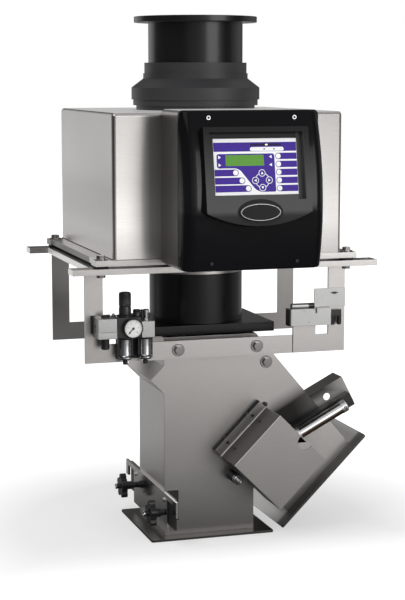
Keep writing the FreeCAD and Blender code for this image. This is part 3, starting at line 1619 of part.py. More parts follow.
def build():
    """Make every sub-part and return them in order."""
    made = [
        feed_tube(), tube_foot(), upper_collar(), head_shell(), head_base(), coil_former(),
        detector_coils(), housing_shell(), circuit_board(), bezel_gasket(), bezel(),
        display_module(), keypad_panel(), bezel_screws(), upper_frame(), lower_frame(),
        isolation_pads(), hex_bolts(), front_hanger_left(), front_hanger_right(), rear_hanger(),
        chute_supports(), chute_side_plates(), chute_left_wall(), chute_right_wall(),
        chute_divider(), accept_flange(), reject_flange(), hatch_plate(), latch_brackets(),
        star_knob("front_star_knob", -1), star_knob("rear_star_knob", 1), flap(), flap_bushes(),
        crank(), piston_rod(), air_cylinder(), cylinder_rail(), cylinder_bracket(), guard_box(),
        guard_packer(), flap_sensor(), air_unit(), filter_bowls(), regulator_knob(),
        pressure_gauge(), gauge_needle(), valve_block()]
    return made + keys()


def check_and_write(parts):
    """Stop on any failed object, then write one file for each sub-part."""
    doc.recompute()
    for obj in doc.Objects:
        if "Invalid" in obj.State or "Error" in obj.State:
            raise RuntimeError(f"{obj.Name} failed: {obj.State}")
    os.makedirs("parts", exist_ok=True)
    for part in parts:
        part.Label = part.Name
        if part.Shape.isNull() or not part.Shape.isValid():
            raise RuntimeError(f"{part.Name} has no valid shape")
        part.Shape.exportStep(f"parts/{part.Label}.step")


check_and_write(build())
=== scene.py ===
"""Dresses the gravity metal detector for a studio picture.

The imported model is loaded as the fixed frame. Each operator then gives a group of
pieces its finish, or makes the pieces that a solid can't show. Blender has metres;
new pieces are given in millimetres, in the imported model's own frame.
"""

import math

import bmesh
import bpy
from mathutils import Matrix, Vector


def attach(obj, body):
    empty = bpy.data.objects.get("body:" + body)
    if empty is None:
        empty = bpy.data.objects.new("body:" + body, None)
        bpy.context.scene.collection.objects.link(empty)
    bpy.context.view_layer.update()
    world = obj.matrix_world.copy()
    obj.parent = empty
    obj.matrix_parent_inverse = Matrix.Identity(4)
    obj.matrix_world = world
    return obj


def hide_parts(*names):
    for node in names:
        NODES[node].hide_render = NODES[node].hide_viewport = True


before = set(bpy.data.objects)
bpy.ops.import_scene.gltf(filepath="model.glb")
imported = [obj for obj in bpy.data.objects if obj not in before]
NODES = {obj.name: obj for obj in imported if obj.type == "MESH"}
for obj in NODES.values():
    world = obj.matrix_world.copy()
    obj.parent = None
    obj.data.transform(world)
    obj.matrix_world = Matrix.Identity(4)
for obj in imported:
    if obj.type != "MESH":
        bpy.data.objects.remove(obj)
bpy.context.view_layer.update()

bl_info = {
    "name": "Gravity metal detector",
    "version": (1, 0, 0),
    "blender": (4, 5, 0),
    "location": "View3D > Sidebar > Metal detector",
    "description": "Finishes and fine pieces of a gravity metal detector",
    "category": "Object",
}

MM = 0.001
UP, DOWN = (0, 0, 1), (0, 0, -1)
FRONT, BACK = (0, -1, 0), (0, 1, 0)
LEFT, RIGHT = (-1, 0, 0), (1, 0, 0)
TOUCHING = 1e-7
SHARP, SMOOTH_ROUND, SMOOTH_FLAT = math.radians(30), math.radians(35), math.radians(45)
WHITE = (1, 1, 1, 1)

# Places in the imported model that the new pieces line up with

PANEL_LEAN = math.radians(10)
PANEL_Y, PANEL_Z = -392, 807
PANEL_FACE, KEY_FACE = 1.5, 2.1
RECESS_UP = (-67.8, 61.8)
BADGE_DROP = 92
ARROWS_MIDDLE, ARROWS_REACH = (11.5, -29.4), 14
ARROWS = {"up_key": (0, 1), "left_key": (-1, 0), "right_key": (1, 0), "down_key": (0, -1)}

# The cylinder's line leans by TILT and lies CYLINDER_OFFSET above the flap's shaft

TILT = math.radians(27.5)
ALONG_DRIVE = (math.cos(TILT), 0, math.sin(TILT))
ACROSS_DRIVE = (-math.sin(TILT), 0, math.cos(TILT))
SHAFT_X, SHAFT_Z = 105, 125
CYLINDER_OFFSET, CYLINDER_START, CYLINDER_Y = 40, 105.6, -133.5
PLATE_FRONT = -100
GUARD_CORNER, GUARD_LOW, GUARD_LENGTH = -109, 137.5, 141
SENSOR = (50, PLATE_FRONT, 126)
UNIT_FRONT, UNIT_AXIS, UNIT_BACK = -205, -181.5, -158
UNIT_LOW = 452
INLET_X, REGULATOR_X, OILER_X = -246.5, -205, -163
GAUGE, DIAL_FACE = (-196, UNIT_FRONT, 473), 8.5
COIL_Y, COIL_Z = -170, 496.8
STAR_KNOBS = (("front", (-150, -120, 62)), ("rear", (-150, 120, 62)))
BEZEL_SCREWS = ((-87, 897), (87, 897), (-87, 620), (87, 620))

# The studio: each lamp's name, place, height that it looks at, width, height and watts

LAMPS = (("key_lamp", (-2.0, -1.6, 3.4), 0.5, 2.0, 2.0, 36),
         ("front_lamp", (1.6, -3.5, 1.4), 0.75, 2.0, 2.0, 38),
         ("rear_lamp", (-1.6, 3.2, 1.2), 0.5, 2.4, 1.4, 8))
FLOOR_SIZE, FLOOR_GLOW = 24, 1.25
SENSOR_HEIGHT = 24


# Values that a user would change

def colour(name, description, default):
    """A colour that a user may change."""
    return bpy.props.FloatVectorProperty(name=name, description=description, default=default,
                                         subtype="COLOR", size=3, min=0, max=1)


def length(name, description, default):
    """A length that a user may change, in metres."""
    return bpy.props.FloatProperty(name=name, description=description, default=default,
                                   unit="LENGTH", min=0, precision=5)


class DetectorColours(bpy.types.PropertyGroup):
    """Colours of the machine's finishes."""

    steel: colour("Steel", "Brushed stainless sheet", (0.5, 0.48, 0.465))
    tube: colour("Tube", "Black tube and its foot", (0.006, 0.006, 0.0065))
    collar: colour("Collar", "Moulded collar on the head", (0.03, 0.03, 0.032))
    gloss: colour("Bezel", "Gloss front of the control housing", (0.006, 0.006, 0.007))
    paint: colour("Black paint", "Painted brackets and case", (0.012, 0.012, 0.013))
    moulding: colour("Black plastic", "Knobs and caps", (0.015, 0.015, 0.016))
    indigo: colour("Print", "Printed ground of the keypad", (0.056, 0.022, 0.3))
    screen: colour("Display", "Lit ground of the character display", (0.12, 0.33, 0.05))
    white: colour("White print", "Keys and printed lines", (0.95, 0.95, 0.97))
    alloy: colour("Alloy", "Cast bodies of the air unit", (0.5, 0.5, 0.49))
    floor: colour("Floor", "Studio floor", (0.82, 0.82, 0.82))


class DetectorSizes(bpy.types.PropertyGroup):
    """Sizes of new pieces, and the camera's."""

    print_height: length("Print height", "Thickness of a printed mark", 0.00008)
    seam: length("Seam", "Width of a joint between two sheets", 0.0012)
    lens: bpy.props.FloatProperty(name="Lens", description="Focal length on a 24 mm sensor",
                                  default=64.5, min=10, max=200)
    camera_place: bpy.props.FloatVectorProperty(
        name="Camera", description="Place of the camera", default=(-1.0147, -3.3084, 0.9806),
        subtype="TRANSLATION", unit="LENGTH", size=3)
    camera_turn: bpy.props.FloatVectorProperty(
        name="Camera turn", description="Turn of the camera",
        default=(math.radians(82), 0, math.radians(-17.3)), subtype="EULER", unit="ROTATION",
        size=3)


# Materials

AXES = {"X": RIGHT, "Y": BACK, "Z": UP}


class Nodes:
    """A node tree under construction."""

    def __init__(self, tree):
        self.tree = tree

    def feed(self, socket, given):
        """Links a socket to an output, or gives it a plain value."""
        if isinstance(given, bpy.types.NodeSocket):
            self.tree.links.new(given, socket)
        else:
            socket.default_value = given

    def fill(self, node, **sockets):
        """Feeds a node's sockets by their names."""
        for name, given in sockets.items():
            self.feed(node.inputs[name.replace("_", " ")], given)
        return node

    def add(self, kind, **sockets):
        """A new node and what its sockets take."""
        return self.fill(self.tree.nodes.new("ShaderNode" + kind), **sockets)

    def work(self, operation, *given, kind="Math", out=0):
        """Numbers, or with VectorMath colours and places, worked together."""
        node = self.add(kind)
        node.operation = operation
        for socket, each in zip(node.inputs, given):
            self.feed(socket, each)
        return node.outputs[out]

    def between(self, factor, low, high, start=0.3, end=0.7, run="LINEAR"):
        """A number that runs from low to high as the factor goes from start to end."""
        node = self.add("MapRange", Value=factor, From_Min=start, From_Max=end, To_Min=low,
                        To_Max=high)
        node.interpolation_type = run
        return node.outputs["Result"]

    def ramp(self, factor, table):
        """A colour read from a table of (place from 0 to 1, grey or colour)."""
        node = self.add("ValToRGB", Fac=factor)
        stops = node.color_ramp.elements
        for i, (spot, shown) in enumerate(table):
            stop = stops[0] if i == 0 else stops[-1] if i == len(table) - 1 else stops.new(spot)
            stop.position = spot
            stop.color = (*shown, 1) if hasattr(shown, "__len__") else (shown, shown, shown, 1)
        return node.outputs["Color"]

    def room(self, around, back):
        """The room's brightness by the angle round the object from its front, and the height."""
        parts = self.add("SeparateXYZ", Vector=around).outputs
        angle = self.work("ARCTAN2", parts["X"], self.work("MULTIPLY", parts["Y"], -1))
        turn = self.between(angle, 0, 1, -math.pi, math.pi)
        table = ((-180, back), (-125, back), (-104, 0.14), (-45, 0.12), (-30, 0.42), (-10, 0.55),
                 (0, 1), (36, 1), (48, 0.8), (56, 0.14), (76, 0.14), (86, 0.5), (112, 0.5),
                 (135, back), (180, back))
        bands = self.ramp(turn, [((degrees + 180) / 360, value) for degrees, value in table])
        return bands, parts["Z"]


class Finish(Nodes):
    """A material under construction, on object coordinates."""

    def __init__(self, name):
        self.made = bpy.data.materials.new(name)
        self.made.use_nodes = True
        super().__init__(self.made.node_tree)
        self.shader = self.tree.nodes["Principled BSDF"]
        self.place = self.add("TexCoord").outputs["Object"]

    def set(self, **sockets):
        """Plain values and outputs for the shader's own sockets."""
        self.fill(self.shader, **sockets)

    def noise(self, scale, stretch=(1, 1, 1), detail=3.0):
        """Soft random grain; stretch squeezes it along an axis into brush lines."""
        spot = self.add("Mapping", Vector=self.place, Scale=stretch).outputs["Vector"]
        made = self.add("TexNoise", Vector=spot, Scale=scale, Detail=detail, Roughness=0.55)
        return made.outputs["Fac"]

    def tint(self, factor, low, high, start=0.3, end=0.7):
        """A base colour that runs from low to high as the factor goes from start to end."""
        shown = self.ramp(factor, ((start, low), (end, high)))
        self.set(Base_Color=shown)
        return shown

    def along(self, axis, table):
        """A grey read from a table of (place in metres, value) along a direction."""
        direction = AXES.get(axis, axis)
        way = self.work("DOT_PRODUCT", self.place, direction, kind="VectorMath", out="Value")
        first, last = table[0][0], table[-1][0]
        stops = [((place - first) / (last - first), value) for place, value in table]
        return self.ramp(self.between(way, 0, 1, first, last), stops)

    def dim(self, axis, table, unless=None):
        """Multiplies the base colour by a table, or by a second one where that is lighter."""
        value = self.along(axis, table)
        if unless:
            value = self.work("MAXIMUM", value, self.along(*unless), kind="VectorMath")
        shown = self.shader.inputs["Base Color"].links[0].from_socket
        self.set(Base_Color=self.work("MULTIPLY", shown, value, kind="VectorMath"))

    def surface(self, height, bump, depth, clouds, rough):
        """A fine relief, and a roughness that drifts between two values."""
        relief = self.add("Bump", Height=height, Strength=bump, Distance=depth)
        self.set(Normal=relief.outputs["Normal"], Roughness=self.between(clouds, *rough, 0.1, 0.9))


def shade(value, by):
    """A colour made lighter or darker by a factor."""
    return tuple(min(1.0, part * by) for part in value)


def metal(name, base, rough=(0.24, 0.36), brush=(1, 1, 60), grain=40, swing=0.06, bump=0.04,
          dims=(), lit=0.0):
    """Brushed or satin metal: fine lines run across the axis that brush squeezes; dims darken its
    colour by place, and lit gives it a white glow, a painted light.
    """
    finish = Finish(name)
    lines = finish.noise(grain, brush, 5)
    finish.tint(lines, shade(base, 1 - swing), shade(base, 1 + swing))
    finish.surface(lines, bump, 0.0004, finish.noise(5), rough)
    finish.set(Metallic=1.0)
    for tables in dims:
        finish.dim(*tables)
    # lit: a white glow, painted light on metal that is no lamp.
    if lit:
        finish.set(Emission_Color=WHITE, Emission_Strength=lit)
    return finish.made


def cast(name, base, rough, grain, bump):
    """Metal with an even grain, without brush lines."""
    return metal(name, base, rough, (1, 1, 1), grain, bump=bump)


def plastic(name, base, rough=(0.3, 0.42), grain=900, swing=0.12, bump=0.08, gloss=0.5,
            painted_sheen=None):
    """Moulded plastic or paint with a fine grain; painted_sheen is a table of its gloss by place, a
    painted reflection.
    """
    finish = Finish(name)
    clouds = finish.noise(7)
    finish.tint(clouds, shade(base, 1 - swing), shade(base, 1 + swing))
    finish.surface(finish.noise(grain, detail=2), bump, 0.0002, clouds, rough)
    finish.set(Specular_IOR_Level=finish.along(*painted_sheen) if painted_sheen else gloss)
    return finish.made


def glow(name, base, strength):
    """A lit surface, such as a lamp, with a faint unevenness."""
    finish = Finish(name)
    shown = finish.tint(finish.noise(30), shade(base, 0.88), shade(base, 1.12))
    finish.set(Emission_Color=shown, Emission_Strength=strength, Roughness=0.25)
    return finish.made


# Hand work

def free():
    """Nothing is selected, and nothing is being edited."""
    if bpy.context.object and bpy.context.object.mode != "OBJECT":
        bpy.ops.object.mode_set(mode="OBJECT")
    bpy.ops.object.select_all(action="DESELECT")


def only(*pieces):
    """These pieces are selected, the first of them active."""
    free()
    for piece in pieces:
        piece.select_set(True)
    bpy.context.view_layer.objects.active = pieces[0]


def begin(name, add, **values):
    """A new piece, made by one of Blender's own operators."""
    free()
    add(**values)
    bpy.context.object.name = name
    return bpy.context.object


def edit(action="SELECT"):
    """Edit mode, with all of the active piece selected or none of it."""
    bpy.ops.object.mode_set(mode="EDIT")
    bpy.ops.mesh.select_all(action=action)


def outward():
    """Leaves edit mode with every face pointing outwards."""
    bpy.ops.mesh.select_all(action="SELECT")
    bpy.ops.mesh.normals_make_consistent(inside=False)
    bpy.ops.object.mode_set(mode="OBJECT")


def settle(piece, place=None):
    """Moves a piece by a matrix and puts its place in its mesh."""
    if place is not None:
        piece.matrix_world = place
    only(piece)
    bpy.ops.object.transform_apply(location=True, rotation=True, scale=True)
    return piece


def fix(piece, place=(0, 0, 0), axis=UP, turn=0.0):
    """Lays a piece that was made at the origin in its place, along an axis."""
    swing = Vector(UP).rotation_difference(Vector(axis)).to_matrix().to_4x4()
    spin = Matrix.Rotation(math.radians(turn), 4, "Z")
    return settle(piece, Matrix.Translation(Vector(place) * MM) @ swing @ spin)


def lean(piece, up=0):
    """Lays a flat piece on the leaning panel, with its middle so far up it."""
    sine, cosine = math.sin(PANEL_LEAN), math.cos(PANEL_LEAN)
    rows = ((1, 0, 0, 0), (0, sine, -cosine, (PANEL_Y + up * sine) * MM),
            (0, cosine, sine, (PANEL_Z + up * cosine) * MM), (0, 0, 0, 1))
    return settle(piece, Matrix(rows))


def grow(name, rims, place=(0, 0, 0), axis=UP, sides=48):
    """A round piece grown from a disc: each rim is the next radius and level."""
    radius, level = rims[0]
    piece = settle(begin(name, bpy.ops.mesh.primitive_circle_add, vertices=sides,
                         radius=radius * MM, fill_type="NGON", location=(0, 0, level * MM)))
    edit()
    for wide, high in rims[1:]:
        rise, by = (0, 0, (high - level) * MM), wide / radius
        bpy.ops.mesh.extrude_region_move(TRANSFORM_OT_translate={"value": rise})
        bpy.ops.transform.resize(value=(by, by, 1), center_override=(0, 0, high * MM))
        radius, level = wide, high
    outward()
    bpy.ops.object.shade_smooth_by_angle(angle=SMOOTH_ROUND)
    return fix(piece, place, axis)


def prism(name, corners, low, high, rounds=None, steps=5):
    """A flat piece from its corners; rounds gives the radius at each corner."""
    piece = begin(name, bpy.ops.mesh.primitive_circle_add, vertices=len(corners), radius=MM,
                  fill_type="NGON")
    for vertex, (x, y) in zip(piece.data.vertices, corners):
        vertex.co = (x * MM, y * MM, low * MM)
    bpy.ops.object.mode_set(mode="EDIT")
    bpy.ops.mesh.select_mode(type="VERT")
    rounds = rounds or [0] * len(corners)
    for radius in sorted(set(rounds) - {0}):
        spots = [Vector((x * MM, y * MM, low * MM))
                 for (x, y), each in zip(corners, rounds) if each == radius]
        bpy.ops.mesh.select_all(action="DESELECT")
        net = bmesh.from_edit_mesh(piece.data)
        for vertex in net.verts:
            vertex.select_set(any((vertex.co - spot).length < TOUCHING for spot in spots))
        bmesh.update_edit_mesh(piece.data)
        bpy.ops.mesh.bevel(affect="VERTICES", offset=radius * MM, segments=steps)
    bpy.ops.mesh.select_all(action="SELECT")
    bpy.ops.mesh.extrude_region_move(TRANSFORM_OT_translate={"value": (0, 0, (high - low) * MM)})
    outward()
    return piece


def bar(name, across, up, low, high, radius=0.0, steps=5):
    """A flat piece with four corners, square or rounded."""
    (left, right), (under, over) = across, up
    corners = [(left, under), (right, under), (right, over), (left, over)]
    return prism(name, corners, low, high, [radius] * 4, steps)


def hoop(name, inner, outer, low, high, first=0.0, sweep=360.0, steps=48):
    """A flat ring or an arc of one, spun from its cross-section."""
    piece = begin(name, bpy.ops.mesh.primitive_plane_add, size=MM)
    turn = math.radians(first)
    corners = ((inner, low), (outer, low), (inner, high), (outer, high))
    for vertex, (reach, level) in zip(piece.data.vertices, corners):
        vertex.co = (reach * MM * math.cos(turn), reach * MM * math.sin(turn), level * MM)
    edit()
    if sweep >= 360:
        bpy.ops.mesh.delete(type="ONLY_FACE")
        bpy.ops.mesh.select_all(action="SELECT")
    bpy.ops.mesh.spin(steps=steps, angle=-math.radians(sweep), center=(0, 0, 0), axis=UP,
                      use_normal_flip=False, dupli=False)
    bpy.ops.mesh.select_all(action="SELECT")
    bpy.ops.mesh.remove_doubles(threshold=TOUCHING)
    outward()
    bpy.ops.object.shade_smooth_by_angle(angle=SMOOTH_ROUND)
    return piece


def block(name, low, high, soft=0.6, steps=2):
    """A cast or cut block with eased edges, between two corners."""
    piece = begin(name, bpy.ops.mesh.primitive_cube_add, size=1)
    for vertex in piece.data.vertices:
        vertex.co = [(b if c > 0 else a) * MM for a, b, c in zip(low, high, vertex.co)]
    return ease(piece, soft, steps)


def modify(piece, kind, **values):
    """Adds a modifier with these values and applies it."""
    change = piece.modifiers.new(kind.lower(), kind)
    for name, value in values.items():
        setattr(change, name, value)
    only(piece)
    bpy.ops.object.modifier_apply(modifier=change.name)


def ease(piece, width, steps=2):
    """Rounds a piece's sharp edges, as a brake press or a mould leaves them."""
    modify(piece, "BEVEL", width=width * MM, segments=steps, limit_method="ANGLE",
           angle_limit=SHARP, use_clamp_overlap=True)
    return steady(piece)


def steady(piece):
    """Smooth shading that keeps the flat faces flat."""
    only(piece)
    bpy.ops.object.shade_smooth_by_angle(angle=SMOOTH_FLAT)
    modify(piece, "WEIGHTED_NORMAL", mode="FACE_AREA", weight=90, keep_sharp=True)
    return piece


def drill(piece, tool):
    """Takes the tool's shape out of a piece."""
    modify(piece, "BOOLEAN", operation="DIFFERENCE", solver="EXACT", object=tool)
    bpy.data.objects.remove(tool)
    return steady(piece)


def weld(name, *pieces):
    """Joins pieces of one finish into one, at the origin."""
    only(*pieces)
    if len(pieces) > 1:
        bpy.ops.object.join()
    pieces[0].name = name
    return pieces[0]


def dress(piece, made, stands_for=(), body="machine"):
    """Finish and body of a new piece; hides the nodes that it stands for."""
    piece.data.materials.clear()
    piece.data.materials.append(made)
    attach(piece, body)
    if stands_for:
        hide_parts(*stands_for)
    return piece


def eased(node, made, width=0.6, body="machine", steps=2):
    """A copy of a node with its sharp edges eased, which is shown in its place."""
    only(NODES[node])
    bpy.ops.object.duplicate()
    piece = bpy.context.object
    piece.parent = None
    for key in list(piece.keys()):
        del piece[key]
    edit()
    bpy.ops.mesh.remove_doubles(threshold=1e-6)
    bpy.ops.mesh.dissolve_limited(angle_limit=math.radians(0.4))
    bpy.ops.object.mode_set(mode="OBJECT")
    ease(piece, width, steps)
    piece.name = node + "_eased"
    return dress(piece, made, (node,), body)


def tone(piece, made, facing, least=0.9):
    """A second finish on the faces that look a given way."""
    piece.data.materials.append(made)
    way = Vector(facing).normalized()
    for face in piece.data.polygons:
        if face.normal.dot(way) > least:
            face.material_index = len(piece.data.materials) - 1
    return piece


def coat(made, *nodes):
    """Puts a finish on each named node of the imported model."""
    for name in nodes:
        mesh = NODES[name].data
        if not mesh.materials:
            mesh.materials.append(made)
        for index in range(len(mesh.materials)):
            mesh.materials[index] = made


# Operators

class Dresser(bpy.types.Operator):
    """What the operators share."""

    bl_options = {"REGISTER", "UNDO"}

    def execute(self, context):
        self.make(context.scene.detector_sizes, context.scene.detector_colours)
        free()
        return {"FINISHED"}


class DETECTOR_OT_stage(Dresser):
    """Camera, floor, backdrop and soft lamps."""

    bl_idname = "detector.stage"
    bl_label = "Stage"

    def make(self, sizes, colours):
        camera = begin("photo_camera", bpy.ops.object.camera_add, location=sizes.camera_place,
                       rotation=sizes.camera_turn)
        camera.data.sensor_fit = "VERTICAL"
        camera.data.sensor_height = SENSOR_HEIGHT
        camera.data.lens = sizes.lens
        camera.data.clip_start = 0.05
        bpy.context.scene.camera = camera
        bpy.context.scene.view_settings.view_transform = "Standard"
        self.floor(colours)
        self.world()
        for lamp in LAMPS:
            self.lamp(*lamp)

    def floor(self, colours):
        """A pale floor that fades into the backdrop; in mirrors it shows a painted shade that
        darkens near the object, and the room's bands as a painted reflection.
        """
        floor = begin("floor", bpy.ops.mesh.primitive_plane_add, size=FLOOR_SIZE)
        finish = Finish("studio_floor")
        apart = finish.work("LENGTH", finish.place, kind="VectorMath", out="Value")
        # Painted shade and painted reflection: for mirrors the floor's colour darkens near the
        # object and follows the room's bands.
        mirror_shade = finish.work("MAXIMUM", finish.between(apart, 0.05, 1, 0.6, 4.4),
                           finish.along("Y", ((-12, 0), (0.1, 0), (0.8, 0.9), (12, 1))))
        bands, _ = finish.room(finish.place, 1.0)
        path = finish.add("LightPath").outputs
        level = finish.work("MAXIMUM", finish.work("MULTIPLY", mirror_shade, bands),
                            finish.between(path["Is Glossy Ray"], 1, 0, 0, 1))
        finish.tint(level, (0.02, 0.02, 0.02), colours.floor, 0, 1)
        finish.set(Roughness=finish.between(finish.noise(2), 0.42, 0.5), Specular_IOR_Level=0.25)
        light = finish.add("Emission", Color=WHITE, Strength=FLOOR_GLOW)
        shown = finish.work("MAXIMUM", finish.between(apart, 0.3, 1, 0.3, 0.85), finish.along(
            "Y", ((-12, 1), (-0.46, 1), (-0.15, 0.4), (12, 0.36))))
        mix = finish.add("MixShader", Fac=finish.work("MULTIPLY", path["Is Camera Ray"], shown))
        finish.feed(mix.inputs[1], finish.shader.outputs["BSDF"])
        finish.feed(mix.inputs[2], light.outputs["Emission"])
        finish.fill(finish.tree.nodes["Material Output"], Surface=mix.outputs["Shader"])
        floor.data.materials.append(finish.made)

    def world(self):
        """A white backdrop, and for mirrors a room with dark bands and a ceiling."""
        world = bpy.data.worlds.new("studio")
        bpy.context.scene.world = world
        world.use_nodes = True
        nodes = Nodes(world.node_tree)
        path = nodes.add("LightPath").outputs
        seen = nodes.work("MAXIMUM", path["Is Camera Ray"], path["Is Transmission Ray"])
        bands, height = nodes.room(nodes.add("TexCoord").outputs["Generated"], 0.16)
        ceiling = nodes.between(height, 0, 1, 0.45, 0.85, "SMOOTHSTEP")
        mirrored = nodes.add("Mix", Factor=ceiling, A=bands, B=0.75)
        pick = nodes.add("Mix", Factor=path["Is Glossy Ray"], B=mirrored.outputs["Result"],
                         A=nodes.between(seen, 0.55, 1, 0, 1))
        nodes.fill(nodes.tree.nodes["Background"], Color=WHITE, Strength=pick.outputs["Result"])

    def lamp(self, name, place, aim, wide, high, power):
        """A soft lamp that looks at a height over the frame's origin."""
        lamp = begin(name, bpy.ops.object.light_add, type="AREA", location=place)
        lamp.data.shape = "RECTANGLE"
        lamp.data.size, lamp.data.size_y = wide, high
        lamp.data.energy = power
        way = Vector((0, 0, aim)) - Vector(place)
        lamp.rotation_euler = way.to_track_quat("-Z", "Y").to_euler()


class DETECTOR_OT_steel(Dresser):
    """Brushed stainless sheet, bars and flanges, with light and shade painted in lighter and darker
    copies of the steel.
    """

    bl_idname = "detector.steel"
    bl_label = "Stainless pieces"

    def make(self, sizes, colours):
        def sheet(name, by=1.0, *dims, lit=0.0):
            """Satin sheet in a lighter or darker copy of the steel, with tables that darken it by
            place and lit that makes it glow: painted light and shade.
            """
            return metal("steel_" + name, shade(colours.steel, by), (0.28, 0.34), bump=0.015,
                         dims=dims, lit=lit)

        # level is the plain steel; shaded is a darker copy that paints shade and dark reflections
        # on the faces it is given.
        level, shaded = sheet("level"), sheet("shaded", 0.42)
        # bright is a lighter copy that glows: painted light on tops and on the lower frame's left
        # faces.
        bright = sheet("bright", 1.5, lit=0.3)
        # Painted reflection and shade: the head's case is a lighter copy that darkens higher up.
        case = sheet("case", 2, (
            "Z", ((0.6, 1), (0.66, 1), (0.7, 0.8), (0.75, 0.6), (0.82, 0.51), (0.9, 0.43))))
        # Painted light and shade on the head's front: a lighter copy, brightest in a band at mid
        # height, darkest beside the housing and darker again towards the right.
        front = sheet("front", 1.75, (
            "Z", ((0.6, 0.78), (0.64, 0.88), (0.68, 1), (0.72, 0.88), (0.77, 0.68), (0.9, 0.42))), (
            "X", ((-0.25, 1), (-0.186, 1), (-0.177, 0.78), (-0.165, 0.46), (0.1, 0.46), (0.14, 1),
                  (0.19, 0.58), (0.25, 0.53))))
        # Painted light on the head's top, painted light and shade on its front.
        tone(tone(eased("head_shell", case), bright, UP), front, FRONT)
        # Painted shade on the housing's left side: a darker copy that lightens towards the top.
        side = sheet("side", 0.6, (
            "Z", ((0.6, 0.66), (0.65, 0.67), (0.73, 0.74), (0.8, 0.85), (0.86, 0.95), (0.92, 1))))
        # Painted light on the housing's top, painted shade on its left side.
        tone(tone(eased("housing_shell", level), bright, UP), side, LEFT)
        for node in ("head_base", "front_hanger_left", "front_hanger_right", "chute_left_wall",
                     "chute_right_wall"):
            eased(node, level)
        # Painted light and shade on the upper frame's left faces: a lighter, glowing front end and
        # a dark rear.
        ends = ("Y", ((-0.2, 1), (-0.155, 1), (-0.15, 0.12), (0.2, 0.12)))
        tone(eased("upper_frame", level), sheet("end", 1.6, ends, lit=0.1), LEFT)
        # Painted shade on the lower frame's rear bars; its left faces get painted light and its
        # tops painted shade.
        bars = sheet("bars", 1, ("Y", ((-0.2, 1), (-0.12, 1), (0.1, 0.6), (0.2, 0.6))))
        tone(tone(eased("lower_frame", bars), bright, LEFT), shaded, UP)
        # Painted shade on the chute plates: darker towards the bottom and where x is under 0.2 m.
        painted_falloff = (("Z", ((0, 0.42), (0.05, 0.58), (0.15, 0.88), (0.3, 0.97), (0.44, 1))),
                 ("X", ((-0.11, 0.77), (0.2, 0.77), (0.26, 1), (0.42, 1))))
        # Painted shadow on the plates' front faces under the cylinder bracket's flange.
        under = (ACROSS_DRIVE, ((0.077, 1), (0.092, 0.05), (0.158, 0.05), (0.168, 0.4),
                                (0.182, 0.8), (0.192, 1)),
                 (ALONG_DRIVE, ((0.211, 1), (0.241, 0.05), (0.29, 0.06), (0.34, 0.2))))
        # The plates' front faces carry the painted shadow under the bracket besides the painted
        # shade.
        tone(eased("chute_side_plates", sheet("plates", 1.3, *painted_falloff)),
             sheet("facing", 1.3, *painted_falloff, under), FRONT)
        # Painted shade on the guard, darker towards its flange at the back; its side walls get the
        # shaded copy.
        painted_depth_shade = ("Y", ((-0.213, 0.9), (-0.205, 0.85), (-0.13, 0.6), (-0.1, 0.55)))
        tone(eased("guard_box", sheet("guard", 1, painted_depth_shade)), shaded, (-1, 0, 1))
        # Painted shade: the rear hanger in a copy of the steel at half tone.
        eased("rear_hanger", sheet("rear", 0.5))
        # Painted shadow on the cylinder bracket's web under its flange, lighter towards its far
        # end; its faces across the drive get the shaded copy.
        bracket = sheet("bracket", 0.72, (
            ACROSS_DRIVE, ((0.112, 1), (0.128, 0.75), (0.14, 0.3), (0.15, 0.12)),
            (ALONG_DRIVE, ((0.366, 0.12), (0.413, 1)))))
        tone(eased("cylinder_bracket", bracket), shaded, ACROSS_DRIVE)
        # Painted shade: the chute supports in a copy of the steel at 0.12 of its tone.
        eased("chute_supports", sheet("dark", 0.12))
        # Painted shade and dark reflection: the accept flange in a copy of the steel at 0.2 of its
        # tone.
        eased("accept_flange", sheet("foot", 0.2), 0.5)
        # Painted light and shade on the reject flange: a lighter copy, its front strip dark, and
        # all but its right end at half tone.
        flange = sheet("flange", 2, ("Y", ((-0.13, 0.22), (-0.104, 0.26), (-0.092, 1), (0.13, 1))),
                       ("X", ((0.1, 0.5), (0.335, 0.5), (0.36, 1), (0.41, 1))))
        eased("reject_flange", flange, 0.5)
        polished = metal("steel_polished", shade(colours.steel, 1.05), (0.14, 0.2), bump=0.01)
        eased("hatch_plate", polished, 0.5)
        coat(level, "chute_divider", "flap")
        eased("hex_bolts", metal("steel_turned", shade(colours.steel, 0.6), (0.1, 0.16)), 0.7)
        heads = ("Z", ((0.604, 0.05), (0.68, 0.05), (0.86, 1), (0.911, 1)))
        coat(metal("screw_heads", (0.4, 0.4, 0.4), (0.2, 0.27), dims=(heads,)), "bezel_screws")
        coat(metal("rod_plated", (0.8, 0.8, 0.81), (0.06, 0.12), grain=120, swing=0.02,
                   bump=0.01), "piston_rod")


